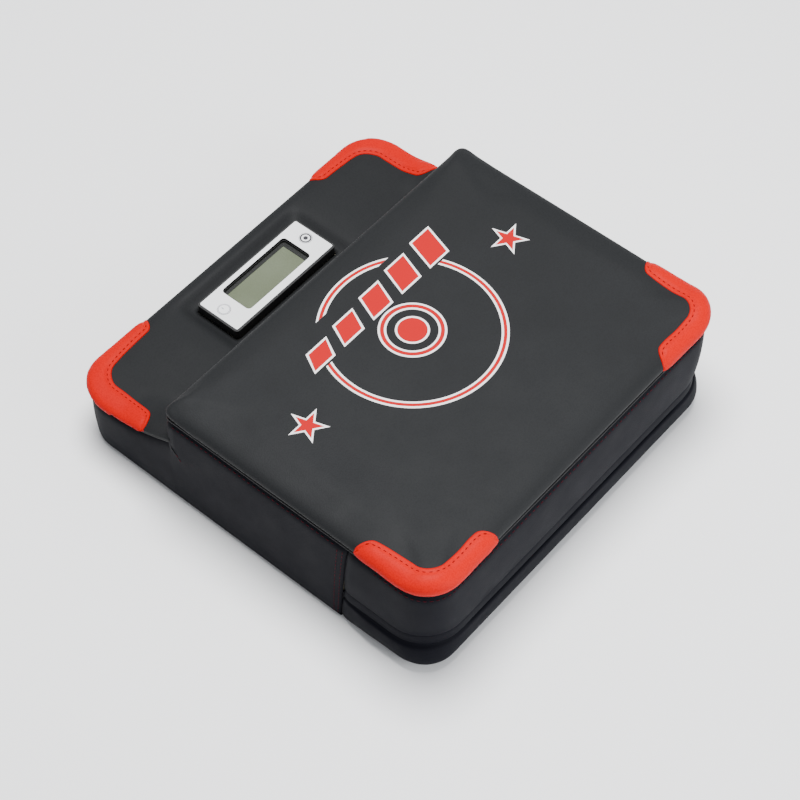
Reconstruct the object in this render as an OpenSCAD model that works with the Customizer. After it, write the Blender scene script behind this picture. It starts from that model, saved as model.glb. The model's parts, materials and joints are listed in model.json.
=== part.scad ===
// A home punch-force pad: a thick striking pad on load cells, with a lower display strip behind it.
// It lies with its striking face up: X runs across, Y towards the display, Z out of the pad.
// The origin is the footprint's centre, on the surface that the pad rests on.

/* [Overall size] */
// Width across the piping
pad_w = 300; // [290:1:310]
// Length from the front edge to the display edge
pad_d = 308; // [304:1:316]
// Height of the striking pad at its corner patches
pad_h = 101; // [98:0.5:106]
// Height of the display strip at its corner patches
strip_h = 54; // [53:0.5:56]
// Distance from the centre to the step between pad and strip
step_y = 70; // [68:1:72]

/* [Corners and edges] */
// Corner radius at the front
front_r = 30; // [24:1:36]
// Corner radius at the display edge
rear_r = 25; // [20:1:30]
// Corner radius of the pad at the step
step_r = 12; // [12:0.5:14]
// Radius that the pad's top edge rolls over with
pad_roll = 11; // [9:0.5:11]
// Radius that the strip's top edge rolls over with
strip_roll = 6; // [5:0.5:6]
// Radius of the piping cord
piping_r = 1.2; // [0.9:0.1:1.2]

/* [Cover] */
// Thickness of the leathercloth
skin_t = 1.2; // [0.8:0.1:1.2]
// Thickness of the red corner patches
patch_t = 0.9; // [0.6:0.1:0.9]
// Thickness of the underside sheet
bottom_t = 1.6; // [1.2:0.1:2]
// Height of the zip's centre line
zip_z = 27; // [26:0.5:28]
// Length of the zip
zip_len = 224; // [210:2:228]

/* [Inside] */
// Thickness of the plywood base board
board_t = 9; // [8:0.5:10]
// Thickness of the plywood strike plate
plate_t = 6; // [5:0.5:7]
// Height of the load cells from the board to the plate
cell_stack = 12; // [11.5:0.5:13]
// Thickness of the soft foam core
core_t = 41; // [38:0.5:43]

/* [Display] */
// Width of the display's bezel
bezel_w = 98.7; // [97:0.1:102]
// Length of the display's bezel
bezel_d = 35; // [34.8:0.1:37]
// Distance of the display's centre from the origin
bezel_y = 118; // [116:0.5:119]
// Height of the bezel's top
bezel_top = 56; // [55.5:0.1:57]
// Width of the window
window_w = 64; // [58:0.5:65]
// Length of the window
window_d = 26; // [22:0.5:26]
// Diameter of the two buttons
button_d = 9; // [8:0.1:9.5]
// Distance of the buttons from the centre line
button_x = 42; // [41:0.1:42.5]

/* [Wall fixing] */
// Spacing of the threaded inserts, both ways
insert_pitch = 200; // [100, 150, 200]
// Radius of the inserts' thread
insert_r = 3; // [2, 2.5, 3]

/* [Hidden] */
$fn = 64;

// Distances in from the outer face
skin_in = 1;
foam_in = 2.5;
panel_gap = 0.2;

// Levels
board_top = bottom_t + board_t;
plate_z = board_top + cell_stack;
core_z = plate_z + plate_t;
strike_z = core_z + core_t;
lower_ply_t = 4;
piping_z = pad_h - pad_roll - 2.4;
strip_piping_z = strip_h - strip_roll - 2.4;
front_y = -pad_d / 2;
rear_y = pad_d / 2;

// The seam between the front band and the side panels leans back towards the floor
function seam_y(z) = -79 - 0.085 * z;

// Front cover bands
flap_z = zip_z - 6;
flap_h = 15;
pocket_half = zip_len / 2 + 6;
tape_y = front_y + 7.4;
tape_t = 1;
tooth_h = 3.2;
tooth_t = 3;
tooth_pitch = 4;
slider_len = 12;
slider_x = zip_len / 2 - slider_len;

// Load cells: centres, and the plastic holder that screws to the board
cell_x = 112;
cell_rows = [-122, 38];
holder_w = 46;
holder_d = 34;
holder_h = 4.5;
ear_h = 3;
ear_x = 20.2;
cell_size = 30;
cell_t = 2.4;
foot_r = 6;
frame_w = 14;
plate_r = 12;
screw_r = 1.5;
cell_screw_len = 4.2;

// Shallow trough across the strip that the display stands in
trough_w = 120;
trough_slope = 7;
trough_z = strip_h - 4.5;

// Display module
housing_t = 1.6;
rim_w = 1.5;
housing_w = bezel_w + 2 * rim_w;
housing_d = bezel_d + 2 * rim_w;
housing_r = 2.7;
bezel_fit = 0.2;
pocket_fit = 0.3;
cavity_w = bezel_w - 3.2;
cavity_d = bezel_d - 3.2;
rim_z = bezel_top - 0.6;
housing_z = 32;
bezel_t = 2.5;
bezel_r = 1.2;
bezel_z = bezel_top - bezel_t;
window_x = 0.7;
window_y = bezel_y + 1;
button_y = bezel_y + 1.5;
lens_t = 1;
lcd_z = bezel_z - 4;
lcd_t = 2.6;
lcd_w = window_w + 2;
lcd_d = window_d + 2;
circuit_z = 42;
circuit_t = 1.6;
circuit_top = circuit_z + circuit_t;
post_x = 40;
post_dy = 11.5;
flange_r = 5.4;
flange_t = 1.8;
switch_h = 4;
plunger_r = 1.7;

// Battery compartment under the strip, open downwards
box_w = 58;
box_d = 29;
box_wall = 1.5;
box_top = 16.3;
box_rim = 3;
box_rim_t = 1.2;
door_gap = 0.3;
door_z = bottom_t + 0.2;
door_t = 1.6;
hinge_y = bezel_y - box_d / 2 + box_wall + 1.8;
hinge_z = door_z + 1.5;
knuckle_r = 1.4;
hinge_pin_r = 0.9;
cell_aaa_r = 5.25;
cell_aaa_len = 44.5;
cell_aaa_dy = 5.6;
cell_aaa_z = 9.5;

// Wiring loom
loom_x = -38;
loom_r = 1.8;
branch_r = 1.1;
lead_r = 0.8;
loom_z = board_top + loom_r + 0.2;
lead_x = -33.5;
lead_dy = 3;

// Target print: the ring, its inner target, a row of level bars and two stars
print_t = 0.15;
print_y = -13;
ring_r = 61;
hub_r = 20;
bar_count = 5;
bar_w = 17;
bar_pitch = 29;
bar_lean = 7;
bar_y = 13;
bar_rise = 2.5;
star_x = 102;
star_y = -12;
star_r = 10.5;
outline_w = 1.5;

// ---- shared shapes ----

// Rectangle with one radius at its front corners and another at its rear ones
module outline(w, y_lo, y_hi, r_lo, r_hi) {
    translate([-w / 2, y_lo + r_lo]) square([w, y_hi - y_lo - r_lo - r_hi]);
    translate([-w / 2 + r_lo, y_lo]) square([w - 2 * r_lo, r_lo + 1]);
    translate([-w / 2 + r_hi, y_hi - r_hi - 1]) square([w - 2 * r_hi, r_hi + 1]);
    for (side = [-1, 1]) {
        translate([side * (w / 2 - r_lo), y_lo + r_lo]) circle(r_lo);
        translate([side * (w / 2 - r_hi), y_hi - r_hi]) circle(r_hi);
    }
}

// Flat plate with rounded corners, centred on X and Y, from z up by h
module plate(w, d, r, z, h) {
    translate([0, 0, z]) linear_extrude(h) outline(w, -d / 2, d / 2, r, r);
}

// The whole footprint, moved in
module footprint(inset) {
    outline(pad_w - 2 * inset, front_y + inset, rear_y - inset, front_r - inset, rear_r - inset);
}

// The striking pad's own plan, moved in
module pad_plan(inset) {
    outline(pad_w - 2 * inset, front_y + inset, step_y - inset, front_r - inset, step_r - inset);
}

// The strike plate's plan, moved in from the foam frame that locates it
module plate_plan(inset) {
    gap = frame_w + inset;
    outline(pad_w - 2 * gap, front_y + gap, step_y - gap, plate_r - inset, plate_r - inset);
}

// Section of a rolled edge: flat on top, round at its outer end
module edge_profile(reach, roll, high) {
    square([reach, high - roll]);
    translate([0, high - roll]) square([reach - roll, roll]);
    intersection() {
        translate([reach - roll, high - roll]) circle(roll);
        translate([reach - roll, high - roll]) square(roll);
    }
}

// Rolled edge that faces +X at a distance, between two places along Y
module edge_run(dist, from_y, to_y, reach, roll, high) {
    translate([dist - reach, to_y, 0]) rotate([90, 0, 0])
        linear_extrude(to_y - from_y) edge_profile(reach, roll, high);
}

// Rolled quarter of a corner, from +X to +Y
module edge_corner(r, roll, high) {
    rotate_extrude(angle = 90) edge_profile(r, roll, high);
}

// Block with rounded corners whose top edge rolls over all round
module rolled_block(w, y_lo, y_hi, r_lo, r_hi, roll, z_lo, z_hi) {
    high = z_hi - z_lo;
    lo_x = w / 2 - r_lo;
    hi_x = w / 2 - r_hi;
    translate([0, 0, z_lo]) {
        translate([-lo_x, y_lo + r_lo, 0]) cube([2 * lo_x, y_hi - y_lo - r_lo - r_hi, high]);
        edge_run(w / 2, y_lo + r_lo, y_hi - r_hi, r_lo, roll, high);
        mirror([1, 0, 0]) edge_run(w / 2, y_lo + r_lo, y_hi - r_hi, r_lo, roll, high);
        rotate([0, 0, -90]) edge_run(-y_lo, -lo_x, lo_x, r_lo, roll, high);
        rotate([0, 0, 90]) edge_run(y_hi, -hi_x, hi_x, r_hi, roll, high);
        translate([hi_x, y_hi - r_hi, 0]) edge_corner(r_hi, roll, high);
        translate([-hi_x, y_hi - r_hi, 0]) rotate([0, 0, 90]) edge_corner(r_hi, roll, high);
        translate([-lo_x, y_lo + r_lo, 0]) rotate([0, 0, 180]) edge_corner(r_lo, roll, high);
        translate([lo_x, y_lo + r_lo, 0]) rotate([0, 0, 270]) edge_corner(r_lo, roll, high);
    }
}

// The striking pad's outer form from z_lo up, moved in
module pad_form(inset, z_lo) {
    rolled_block(pad_w - 2 * inset, front_y + inset, step_y - inset, front_r - inset,
        step_r - inset, pad_roll - inset, z_lo, pad_h - inset);
}

// The strip's outer form behind y_lo and from z_lo up, moved in, with its trough
module strip_form(inset, y_lo, z_lo) {
    difference() {
        rolled_block(pad_w - 2 * inset, 0, rear_y - inset, rear_r - inset, rear_r - inset,
            strip_roll - inset, z_lo, strip_h - inset);
        translate([-pad_w, y_lo - pad_d, -1]) cube([2 * pad_w, pad_d, 2 * strip_h]);
        translate([0, rear_y - strip_roll, 0]) rotate([90, 0, 0]) linear_extrude(pad_d) polygon([
            [-trough_w / 2 - inset, strip_h + 1],
            [-trough_w / 2 - inset + trough_slope, trough_z - inset],
            [trough_w / 2 + inset - trough_slope, trough_z - inset],
            [trough_w / 2 + inset, strip_h + 1]
        ]);
    }
}

// Outline drawn in the Y-Z plane, carried right across the pad
module across() {
    rotate([90, 0, 90]) linear_extrude(pad_w + 2, center = true) children();
}

// Cover band round the front, between two heights
module front_band(z_lo, z_hi) {
    intersection() {
        translate([0, 0, z_lo]) linear_extrude(z_hi - z_lo) difference() {
            footprint(skin_in);
            footprint(skin_in + skin_t);
        }
        across() polygon([
            [front_y - 1, z_lo],
            [seam_y(z_lo), z_lo],
            [seam_y(z_hi), z_hi],
            [front_y - 1, z_hi]
        ]);
    }
}

// Quarter bend of a round cord, from +X to +Y
module cord_bend(r, cord_r) {
    rotate_extrude(angle = 90) translate([r, 0]) circle(cord_r);
}

// Closed loop of piping round a rounded rectangle
module cord_loop(w, y_lo, y_hi, r_lo, r_hi, cord_r, z) {
    translate([0, 0, z]) {
        for (side = [-1, 1]) {
            translate([side * w / 2, y_lo + r_lo, 0]) rotate([-90, 0, 0])
                cylinder(h = y_hi - y_lo - r_lo - r_hi, r = cord_r);
        }
        translate([r_lo - w / 2, y_lo, 0]) rotate([0, 90, 0])
            cylinder(h = w - 2 * r_lo, r = cord_r);
        translate([r_hi - w / 2, y_hi, 0]) rotate([0, 90, 0])
            cylinder(h = w - 2 * r_hi, r = cord_r);
        translate([w / 2 - r_hi, y_hi - r_hi, 0]) cord_bend(r_hi, cord_r);
        translate([r_hi - w / 2, y_hi - r_hi, 0]) rotate([0, 0, 90]) cord_bend(r_hi, cord_r);
        translate([r_lo - w / 2, y_lo + r_lo, 0]) rotate([0, 0, 180]) cord_bend(r_lo, cord_r);
        translate([w / 2 - r_lo, y_lo + r_lo, 0]) rotate([0, 0, 270]) cord_bend(r_lo, cord_r);
    }
}

// L-shaped patch outline at a corner at the origin: arm lengths, arm widths, inner fillet
module patch_outline(len_x, wide_x, len_y, wide_y, fillet) {
    tip = 6;
    outline(2 * wide_y, -tip, len_y, tip, tip);
    rotate([0, 0, -90]) outline(2 * wide_x, -tip, len_x, tip, tip);
    difference() {
        square([wide_y + fillet, wide_x + fillet]);
        translate([wide_y + fillet, wide_x + fillet]) circle(fillet);
    }
}

// Straight wire between two points
module wire_run(a, b, r) {
    v = b - a;
    translate(a) rotate([0, acos(v.z / norm(v)), atan2(v.y, v.x)]) cylinder(h = norm(v), r = r);
}

// Wire through a list of points, with round bends
module wire(points, r) {
    for (i = [0 : len(points) - 2]) wire_run(points[i], points[i + 1], r);
    for (i = [1 : 1 : len(points) - 2]) translate(points[i]) sphere(r);
}

// Places its children at the four load cells
module at_cells() {
    for (side = [-1, 1]) {
        for (y = cell_rows) translate([side * cell_x, y, 0]) children();
    }
}

// Places its children at the four wall inserts
module at_inserts() {
    for (sx = [-1, 1]) {
        for (sy = [-1, 1]) translate([sx, sy, 0] * insert_pitch / 2) children();
    }
}

// Places its children at the four corners of a rectangle round the display's centre
module at_display(dx, dy) {
    for (sx = [-1, 1]) {
        for (sy = [-1, 1]) translate([sx * dx, bezel_y + sy * dy, 0]) children();
    }
}

// ---- base ----

module cover_bottom() {
    color([0.10, 0.10, 0.11]) difference() {
        linear_extrude(bottom_t) footprint(skin_in);
        at_inserts() translate([0, 0, -1]) cylinder(h = bottom_t + 2, r = 8);
        translate([0, bezel_y, 0]) plate(box_w + 8, box_d + 8, 4, -1, bottom_t + 2);
    }
}

module base_board() {
    color([0.72, 0.58, 0.40]) difference() {
        union() {
            translate([0, 0, bottom_t]) linear_extrude(lower_ply_t)
                outline(pad_w - 2 * foam_in, front_y + 11, rear_y - foam_in, 60, rear_r - foam_in);
            translate([0, 0, bottom_t + lower_ply_t]) linear_extrude(board_t - lower_ply_t)
                outline(pad_w - 2 * foam_in, front_y + 5.5, rear_y - foam_in, front_r, rear_r - foam_in);
        }
        at_inserts() {
            translate([0, 0, -1]) cylinder(h = pad_h, r = 4.6);
            translate([0, 0, bottom_t - 1]) cylinder(h = 2.3, r = 7.1);
        }
        at_cells() for (side = [-1, 1]) {
            translate([side * ear_x, 0, board_top - cell_screw_len - 0.3])
                cylinder(h = 10, r = screw_r + 0.1);
        }
        translate([0, bezel_y, 0]) {
            plate(box_w + 0.4, box_d + 0.4, 1.2, 0, board_top + 1);
            plate(box_w + 2 * box_rim + 0.4, box_d + 2 * box_rim + 0.4, 3.2, 0, bottom_t + 1.3);
        }
        at_display(box_w / 2 + box_rim - 1.9, box_d / 2 + box_rim - 1.9)
            translate([0, 0, bottom_t]) cylinder(h = 7, r = 0.9);
    }
}

module wall_inserts() {
    color([0.80, 0.65, 0.30]) at_inserts() difference() {
        union() {
            translate([0, 0, bottom_t]) cylinder(h = board_t, r = 4.5);
            translate([0, 0, bottom_t]) cylinder(h = 1.2, r = 7);
        }
        cylinder(h = pad_h, r = insert_r);
    }
}

module cell_frame() {
    color([0.30, 0.30, 0.32]) difference() {
        translate([0, 0, board_top]) linear_extrude(cell_stack + plate_t) difference() {
            pad_plan(foam_in);
            plate_plan(0);
        }
        zip_pocket();
        translate([loom_x - 4, step_y - 2 * frame_w, 0]) cube([8, 4 * frame_w, board_top + 5]);
    }
}

module load_cell_holders() {
    color([0.12, 0.12, 0.13]) at_cells() difference() {
        union() {
            plate(holder_d, holder_d, 3, board_top, holder_h);
            plate(holder_w, 12, 3, board_top, ear_h);
        }
        plate(cell_size + 0.6, cell_size + 0.6, 1.5, board_top + 2.5, holder_h);
        plate(cell_size - 5, cell_size - 5, 1.5, board_top + 1.5, holder_h);
        for (side = [-1, 1]) translate([side * ear_x, 0, 0]) cylinder(h = pad_h, r = screw_r + 0.2);
    }
}

module load_cells() {
    color([0.72, 0.73, 0.75]) at_cells() difference() {
        plate(cell_size, cell_size, 1.2, board_top + 2.5, cell_t);
        for (side = [-1, 1]) {
            translate([side * 8.5, 1.5, 0]) plate(4, 20, 1.5, board_top, holder_h + cell_t);
        }
        translate([0, 10.5, 0]) plate(19, 3, 1.2, board_top, holder_h + cell_t);
    }
}

module load_cell_feet() {
    foot_z = board_top + 2.5 + cell_t;
    color([0.15, 0.15, 0.16]) at_cells() {
        translate([0, 0, foot_z]) cylinder(h = plate_z - foot_z, r1 = foot_r - 1, r2 = foot_r);
    }
}

module load_cell_screws() {
    color([0.75, 0.75, 0.77]) at_cells() for (side = [-1, 1]) {
        translate([side * ear_x, 0, board_top]) {
            translate([0, 0, ear_h]) cylinder(h = 1.6, r1 = 2.8, r2 = 2.2);
            translate([0, 0, -cell_screw_len]) cylinder(h = ear_h + cell_screw_len, r = screw_r);
        }
    }
}

module strike_plate() {
    color([0.72, 0.58, 0.40]) translate([0, 0, plate_z]) linear_extrude(plate_t) plate_plan(0.5);
}

module foam_core() {
    color([0.86, 0.84, 0.76]) difference() {
        translate([0, 0, core_z]) linear_extrude(core_t) pad_plan(foam_in);
        zip_pocket();
    }
}

// ---- cover walls and zip ----

// One long panel round both sides and the rear: tall beside the pad, low round the strip
module cover_side_wrap() {
    z_lo = bottom_t + panel_gap;
    z_hi = piping_z - piping_r - panel_gap;
    z_strip = strip_piping_z - piping_r - panel_gap;
    color([0.15, 0.15, 0.18]) intersection() {
        translate([0, 0, z_lo]) linear_extrude(z_hi - z_lo) difference() {
            footprint(skin_in);
            footprint(skin_in + skin_t);
        }
        across() polygon([
            [seam_y(z_lo) + panel_gap, z_lo],
            [rear_y, z_lo],
            [rear_y, z_strip],
            [step_y, z_strip],
            [step_y, strip_h],
            [step_y - step_r, strip_h],
            [step_y - step_r, z_hi],
            [seam_y(z_hi) + panel_gap, z_hi]
        ]);
    }
}

module cover_front_upper() {
    color([0.15, 0.15, 0.18])
        front_band(flap_z + flap_h + panel_gap, piping_z - piping_r - panel_gap);
}

module cover_front_lower() {
    color([0.15, 0.15, 0.18]) front_band(bottom_t + panel_gap, flap_z - panel_gap);
}

module zip_flap() {
    color([0.13, 0.13, 0.15]) front_band(flap_z, flap_z + flap_h);
}

// Room behind the flap for the tape, the teeth and the slider
module zip_pocket() {
    translate([-pocket_half, front_y - 1, zip_z - 12])
        cube([2 * pocket_half, tape_y + 4 - front_y, 24]);
}

// One tape of the zip: flat beside the teeth, then out to the cover at its sewn edge
module zip_tape(up) {
    back_y = front_y + skin_in + skin_t;
    far_z = zip_z + up * 10.5;
    color([0.08, 0.08, 0.09]) rotate([90, 0, 90]) linear_extrude(zip_len, center = true) polygon([
        [tape_y, zip_z + up * tooth_h / 2],
        [tape_y, far_z - up * tape_t],
        [back_y, far_z - up * tape_t],
        [back_y, far_z],
        [tape_y + tape_t, far_z],
        [tape_y + tape_t, zip_z + up * tooth_h / 2]
    ]);
}

module zip_tape_upper() {
    zip_tape(1);
}

module zip_tape_lower() {
    zip_tape(-1);
}

module zip_teeth() {
    run = zip_len - 8;
    count = floor(run / tooth_pitch);
    color([0.10, 0.10, 0.11]) translate([0, tape_y + tape_t / 2, zip_z]) {
        cube([run, 1.6, tooth_h], center = true);
        for (i = [0 : count - 1]) {
            translate([(i - (count - 1) / 2) * tooth_pitch, 0, 0])
                cube([tooth_pitch * 0.55, tooth_t, tooth_h], center = true);
        }
    }
}

module zip_stops() {
    color([0.20, 0.20, 0.22]) for (side = [-1, 1]) {
        translate([side * (zip_len / 2 - 2), tape_y + tape_t / 2, zip_z])
            cube([3, tooth_t, tooth_h], center = true);
    }
}

// Slider without a pull tab: a front plate whose two flanges reach back to the tapes
module zip_slider() {
    gap = 0.3;
    half_z = tooth_h / 2 + gap;
    face_y = tape_y + tape_t / 2 - tooth_t / 2 - gap;
    color([0.60, 0.61, 0.63]) translate([slider_x - slider_len / 2, 0, zip_z]) {
        translate([0, face_y - 1.2, -half_z - 1]) cube([slider_len, 1.2, 2 * half_z + 2]);
        for (z = [-half_z - 1, half_z]) {
            translate([0, face_y - 1.2, z]) cube([slider_len, tape_y - gap - face_y + 1.2, 1]);
        }
        translate([slider_len * 0.2, face_y - 2.4, -1]) cube([slider_len * 0.6, 1.3, 2]);
    }
}

module cover_riser() {
    z_lo = strip_h + panel_gap;
    z_hi = piping_z - piping_r - panel_gap;
    hem_z = trough_z - 2 * skin_t;
    hem_w = pad_w - 2 * step_r;
    color([0.17, 0.17, 0.19]) {
        translate([0, 0, z_lo]) linear_extrude(z_hi - z_lo) intersection() {
            difference() {
                pad_plan(skin_in);
                pad_plan(skin_in + skin_t);
            }
            translate([-pad_w / 2, step_y - step_r + panel_gap]) square([pad_w, step_r]);
        }
        translate([-hem_w / 2, step_y - skin_in - skin_t, hem_z]) cube([hem_w, skin_t, z_lo - hem_z]);
    }
}

// ---- display strip ----

module foam_strip() {
    color([0.86, 0.84, 0.76]) difference() {
        strip_form(foam_in, step_y - skin_in + panel_gap, board_top);
        translate([0, bezel_y, 0]) {
            plate(housing_w + 2 * pocket_fit, housing_d + 2 * pocket_fit, housing_r + pocket_fit, housing_z, strip_h);
            plate(box_w + 1, box_d + 1, 1.5, 0, box_top + 0.2);
        }
        translate([loom_x - 4, step_y - 3, 0]) cube([8, bezel_y - step_y + 9, board_top + 5.9]);
        translate([loom_x - 6, bezel_y - 8, 0]) cube([15, 16, housing_z + 1]);
    }
}

module cover_strip_top() {
    low = strip_piping_z + piping_r + panel_gap;
    color([0.22, 0.23, 0.24]) difference() {
        strip_form(skin_in, step_y + panel_gap, low);
        strip_form(skin_in + skin_t, 0, low - 1);
        translate([0, bezel_y, 0]) plate(housing_w + 2 * pocket_fit, housing_d + 2 * pocket_fit, housing_r + pocket_fit, 0, pad_h);
    }
}

module strip_piping() {
    inset = piping_r;
    color([0.07, 0.07, 0.08]) intersection() {
        cord_loop(pad_w - 2 * inset, 0, rear_y - inset, rear_r - inset, rear_r - inset,
            piping_r, strip_piping_z);
        translate([-pad_w, step_y + panel_gap, 0]) cube([2 * pad_w, pad_d, pad_h]);
    }
}

// Rear corner patch on one side, laid over the strip's cover
module rear_patch(side) {
    low = strip_piping_z + piping_r + panel_gap;
    color([0.86, 0.15, 0.13]) intersection() {
        difference() {
            strip_form(0, step_y + 1, low);
            strip_form(patch_t, 0, low - 1);
        }
        translate([side * pad_w / 2, rear_y, 0]) mirror([side > 0 ? 1 : 0, 0, 0])
            mirror([0, 1, 0]) linear_extrude(pad_h) patch_outline(66, 8.5, 63, 14, 12);
    }
}

module corner_patch_rear_left() {
    rear_patch(-1);
}

module corner_patch_rear_right() {
    rear_patch(1);
}

// ---- display module ----

module display_housing() {
    color([0.05, 0.05, 0.06]) translate([0, bezel_y, 0]) difference() {
        union() {
            difference() {
                plate(housing_w, housing_d, housing_r, housing_z, rim_z - housing_z);
                plate(bezel_w + 2 * bezel_fit, bezel_d + 2 * bezel_fit, bezel_r, bezel_z, pad_h);
                plate(cavity_w, cavity_d, 1.6, housing_z + housing_t, pad_h);
            }
            translate([0, -bezel_y, 0]) at_display(post_x, post_dy)
                translate([0, 0, housing_z + 0.5]) cylinder(h = circuit_z - housing_z - 0.5, r = 2.6);
        }
        translate([0, -bezel_y, 0]) at_display(post_x, post_dy)
            translate([0, 0, circuit_z - 7]) cylinder(h = 8, r = 1.1);
        translate([loom_x - 4, -6, 0]) cube([10, 12, housing_z + 3]);
    }
}

module display_bezel() {
    color([0.90, 0.91, 0.92]) difference() {
        translate([0, bezel_y, 0]) plate(bezel_w, bezel_d, bezel_r, bezel_z, bezel_t);
        translate([window_x, window_y, 0]) plate(window_w, window_d, 3, 0, pad_h);
        for (side = [-1, 1]) {
            translate([side * button_x, button_y, 0]) cylinder(h = pad_h, r = button_d / 2 + 0.3);
        }
    }
}

module display_lens() {
    color([0.80, 0.88, 0.90, 0.4]) translate([window_x, window_y, 0])
        plate(lcd_w, lcd_d, 2, bezel_z - lens_t, lens_t);
}

module lcd_panel() {
    color([0.57, 0.61, 0.51]) translate([window_x, window_y, 0])
        plate(lcd_w, lcd_d - 0.8, 0.5, lcd_z, lcd_t);
}

module lcd_frame() {
    color([0.06, 0.06, 0.07]) translate([window_x, window_y, circuit_top])
        linear_extrude(lcd_z + lcd_t - circuit_top) difference() {
            outline(lcd_w + 2.4, -lcd_d / 2 - 0.1, lcd_d / 2 + 0.1, 1, 1);
            square([lcd_w + 0.3, lcd_d - 0.5], center = true);
        }
}

module zebra_strips() {
    color([0.85, 0.45, 0.55]) for (side = [-1, 1]) {
        translate([window_x, window_y + side * (lcd_d / 2 - 2), (circuit_top + lcd_z) / 2])
            cube([lcd_w - 6, 2, lcd_z - circuit_top], center = true);
    }
}

module circuit_board() {
    color([0.10, 0.40, 0.20]) difference() {
        translate([0, bezel_y, 0])
            plate(cavity_w - 1, cavity_d - 0.8, 1, circuit_z, circuit_t);
        at_display(post_x, post_dy) cylinder(h = pad_h, r = 1.4);
    }
}

module control_chip() {
    color([0.04, 0.04, 0.05]) translate([0, bezel_y, circuit_top]) cylinder(h = 1.6, r1 = 6.5, r2 = 4.5);
}

module tact_switches() {
    color([0.12, 0.12, 0.13]) for (side = [-1, 1]) {
        translate([side * button_x, button_y, circuit_top]) difference() {
            translate([0, 0, switch_h / 2]) cube([6, 6, switch_h], center = true);
            translate([0, 0, 1]) cylinder(h = switch_h, r = plunger_r + 0.3);
        }
    }
}

module board_screws() {
    color([0.75, 0.75, 0.77]) at_display(post_x, post_dy) {
        translate([0, 0, circuit_top]) cylinder(h = 1.3, r = 2);
        translate([0, 0, circuit_z - 6]) cylinder(h = 6 + circuit_t, r = 1);
    }
}

// Button cap with the flange that keeps it under the bezel
module button_cap(side) {
    color([0.88, 0.89, 0.90]) translate([side * button_x, button_y, 0]) {
        translate([0, 0, bezel_z - flange_t]) cylinder(h = flange_t, r = flange_r);
        translate([0, 0, bezel_z - 0.1]) cylinder(h = bezel_t + 0.1, r = button_d / 2);
        translate([0, 0, circuit_top + switch_h + 1.4])
            cylinder(h = bezel_z - circuit_top - switch_h - 1.5, r = 2.2);
    }
}

// The switch's own plunger, which the cap pushes down
module switch_plunger(side) {
    color([0.80, 0.80, 0.78]) translate([side * button_x, button_y, circuit_top + 2])
        cylinder(h = switch_h - 0.6, r = plunger_r);
}

module button_power() {
    button_cap(-1);
}

module plunger_power() {
    switch_plunger(-1);
}

module button_mode() {
    button_cap(1);
}

module plunger_mode() {
    switch_plunger(1);
}

// ---- wiring and battery ----

// One trunk along the board with a branch to each load cell, then up into the display's housing
module sensor_harness() {
    color([0.65, 0.10, 0.10]) {
        wire([
            [loom_x, cell_rows[0], loom_z],
            [loom_x, bezel_y, loom_z],
            [loom_x, bezel_y, circuit_z - 0.2]
        ], loom_r);
        for (y = cell_rows) {
            wire_run([-cell_x + holder_w / 2, y, loom_z], [cell_x - holder_w / 2, y, loom_z], branch_r);
        }
    }
}

module battery_leads() {
    color([0.10, 0.10, 0.10]) for (side = [-1, 1]) {
        wire([
            [-box_w / 2, bezel_y + side * lead_dy, loom_z],
            [lead_x, bezel_y + side * lead_dy, loom_z],
            [lead_x, bezel_y + side * lead_dy, circuit_z - 0.2]
        ], lead_r);
    }
}

module battery_box() {
    inner_w = box_w - 2 * box_wall;
    inner_d = box_d - 2 * box_wall;
    color([0.09, 0.09, 0.10]) difference() {
        translate([0, bezel_y, 0]) union() {
            plate(box_w, box_d, 1, bottom_t, box_top - bottom_t);
            plate(box_w + 2 * box_rim, box_d + 2 * box_rim, 3, bottom_t, box_rim_t);
        }
        translate([0, bezel_y, 0]) {
            plate(inner_w, inner_d, 0.5, 0, door_z + door_t + door_gap);
            translate([0, -0.5, 0])
                plate(inner_w - 2, inner_d - 1, 0.5, 0, box_top - box_wall);
        }
        translate([-box_w, hinge_y, hinge_z]) rotate([0, 90, 0])
            cylinder(h = 2 * box_w, r = hinge_pin_r + 0.06);
        translate([-inner_w / 2, hinge_y, hinge_z]) rotate([0, 90, 0])
            cylinder(h = inner_w, r = knuckle_r + door_gap);
        at_display(box_w / 2 + box_rim - 1.9, box_d / 2 + box_rim - 1.9) cylinder(h = 4, r = 1.1);
    }
}

module battery_box_screws() {
    color([0.75, 0.75, 0.77]) at_display(box_w / 2 + box_rim - 1.9, box_d / 2 + box_rim - 1.9) {
        translate([0, 0, bottom_t - 0.8]) cylinder(h = 0.8, r = 1.7);
        translate([0, 0, bottom_t - 0.1]) cylinder(h = 6, r = 0.8);
    }
}

module batteries() {
    color([0.20, 0.20, 0.55]) for (side = [-1, 1]) {
        translate([-cell_aaa_len / 2, bezel_y + side * cell_aaa_dy, cell_aaa_z]) rotate([0, 90, 0]) {
            cylinder(h = cell_aaa_len - 1, r = cell_aaa_r);
            cylinder(h = cell_aaa_len, r = 1.9);
        }
    }
}

module battery_contacts() {
    inner_half = box_w / 2 - box_wall - 1;
    color([0.80, 0.80, 0.82]) for (side = [-1, 1]) {
        for (end = [-1, 1]) {
            translate([end * (inner_half - 0.25), bezel_y + side * cell_aaa_dy, cell_aaa_z])
                cube([0.5, 9, 9], center = true);
            translate([end * (inner_half - 0.5), bezel_y + side * cell_aaa_dy, cell_aaa_z])
                rotate([0, -90 * end, 0])
                    cylinder(h = inner_half - 0.5 - cell_aaa_len / 2, r1 = 3.6, r2 = 1.8);
        }
    }
}

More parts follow.
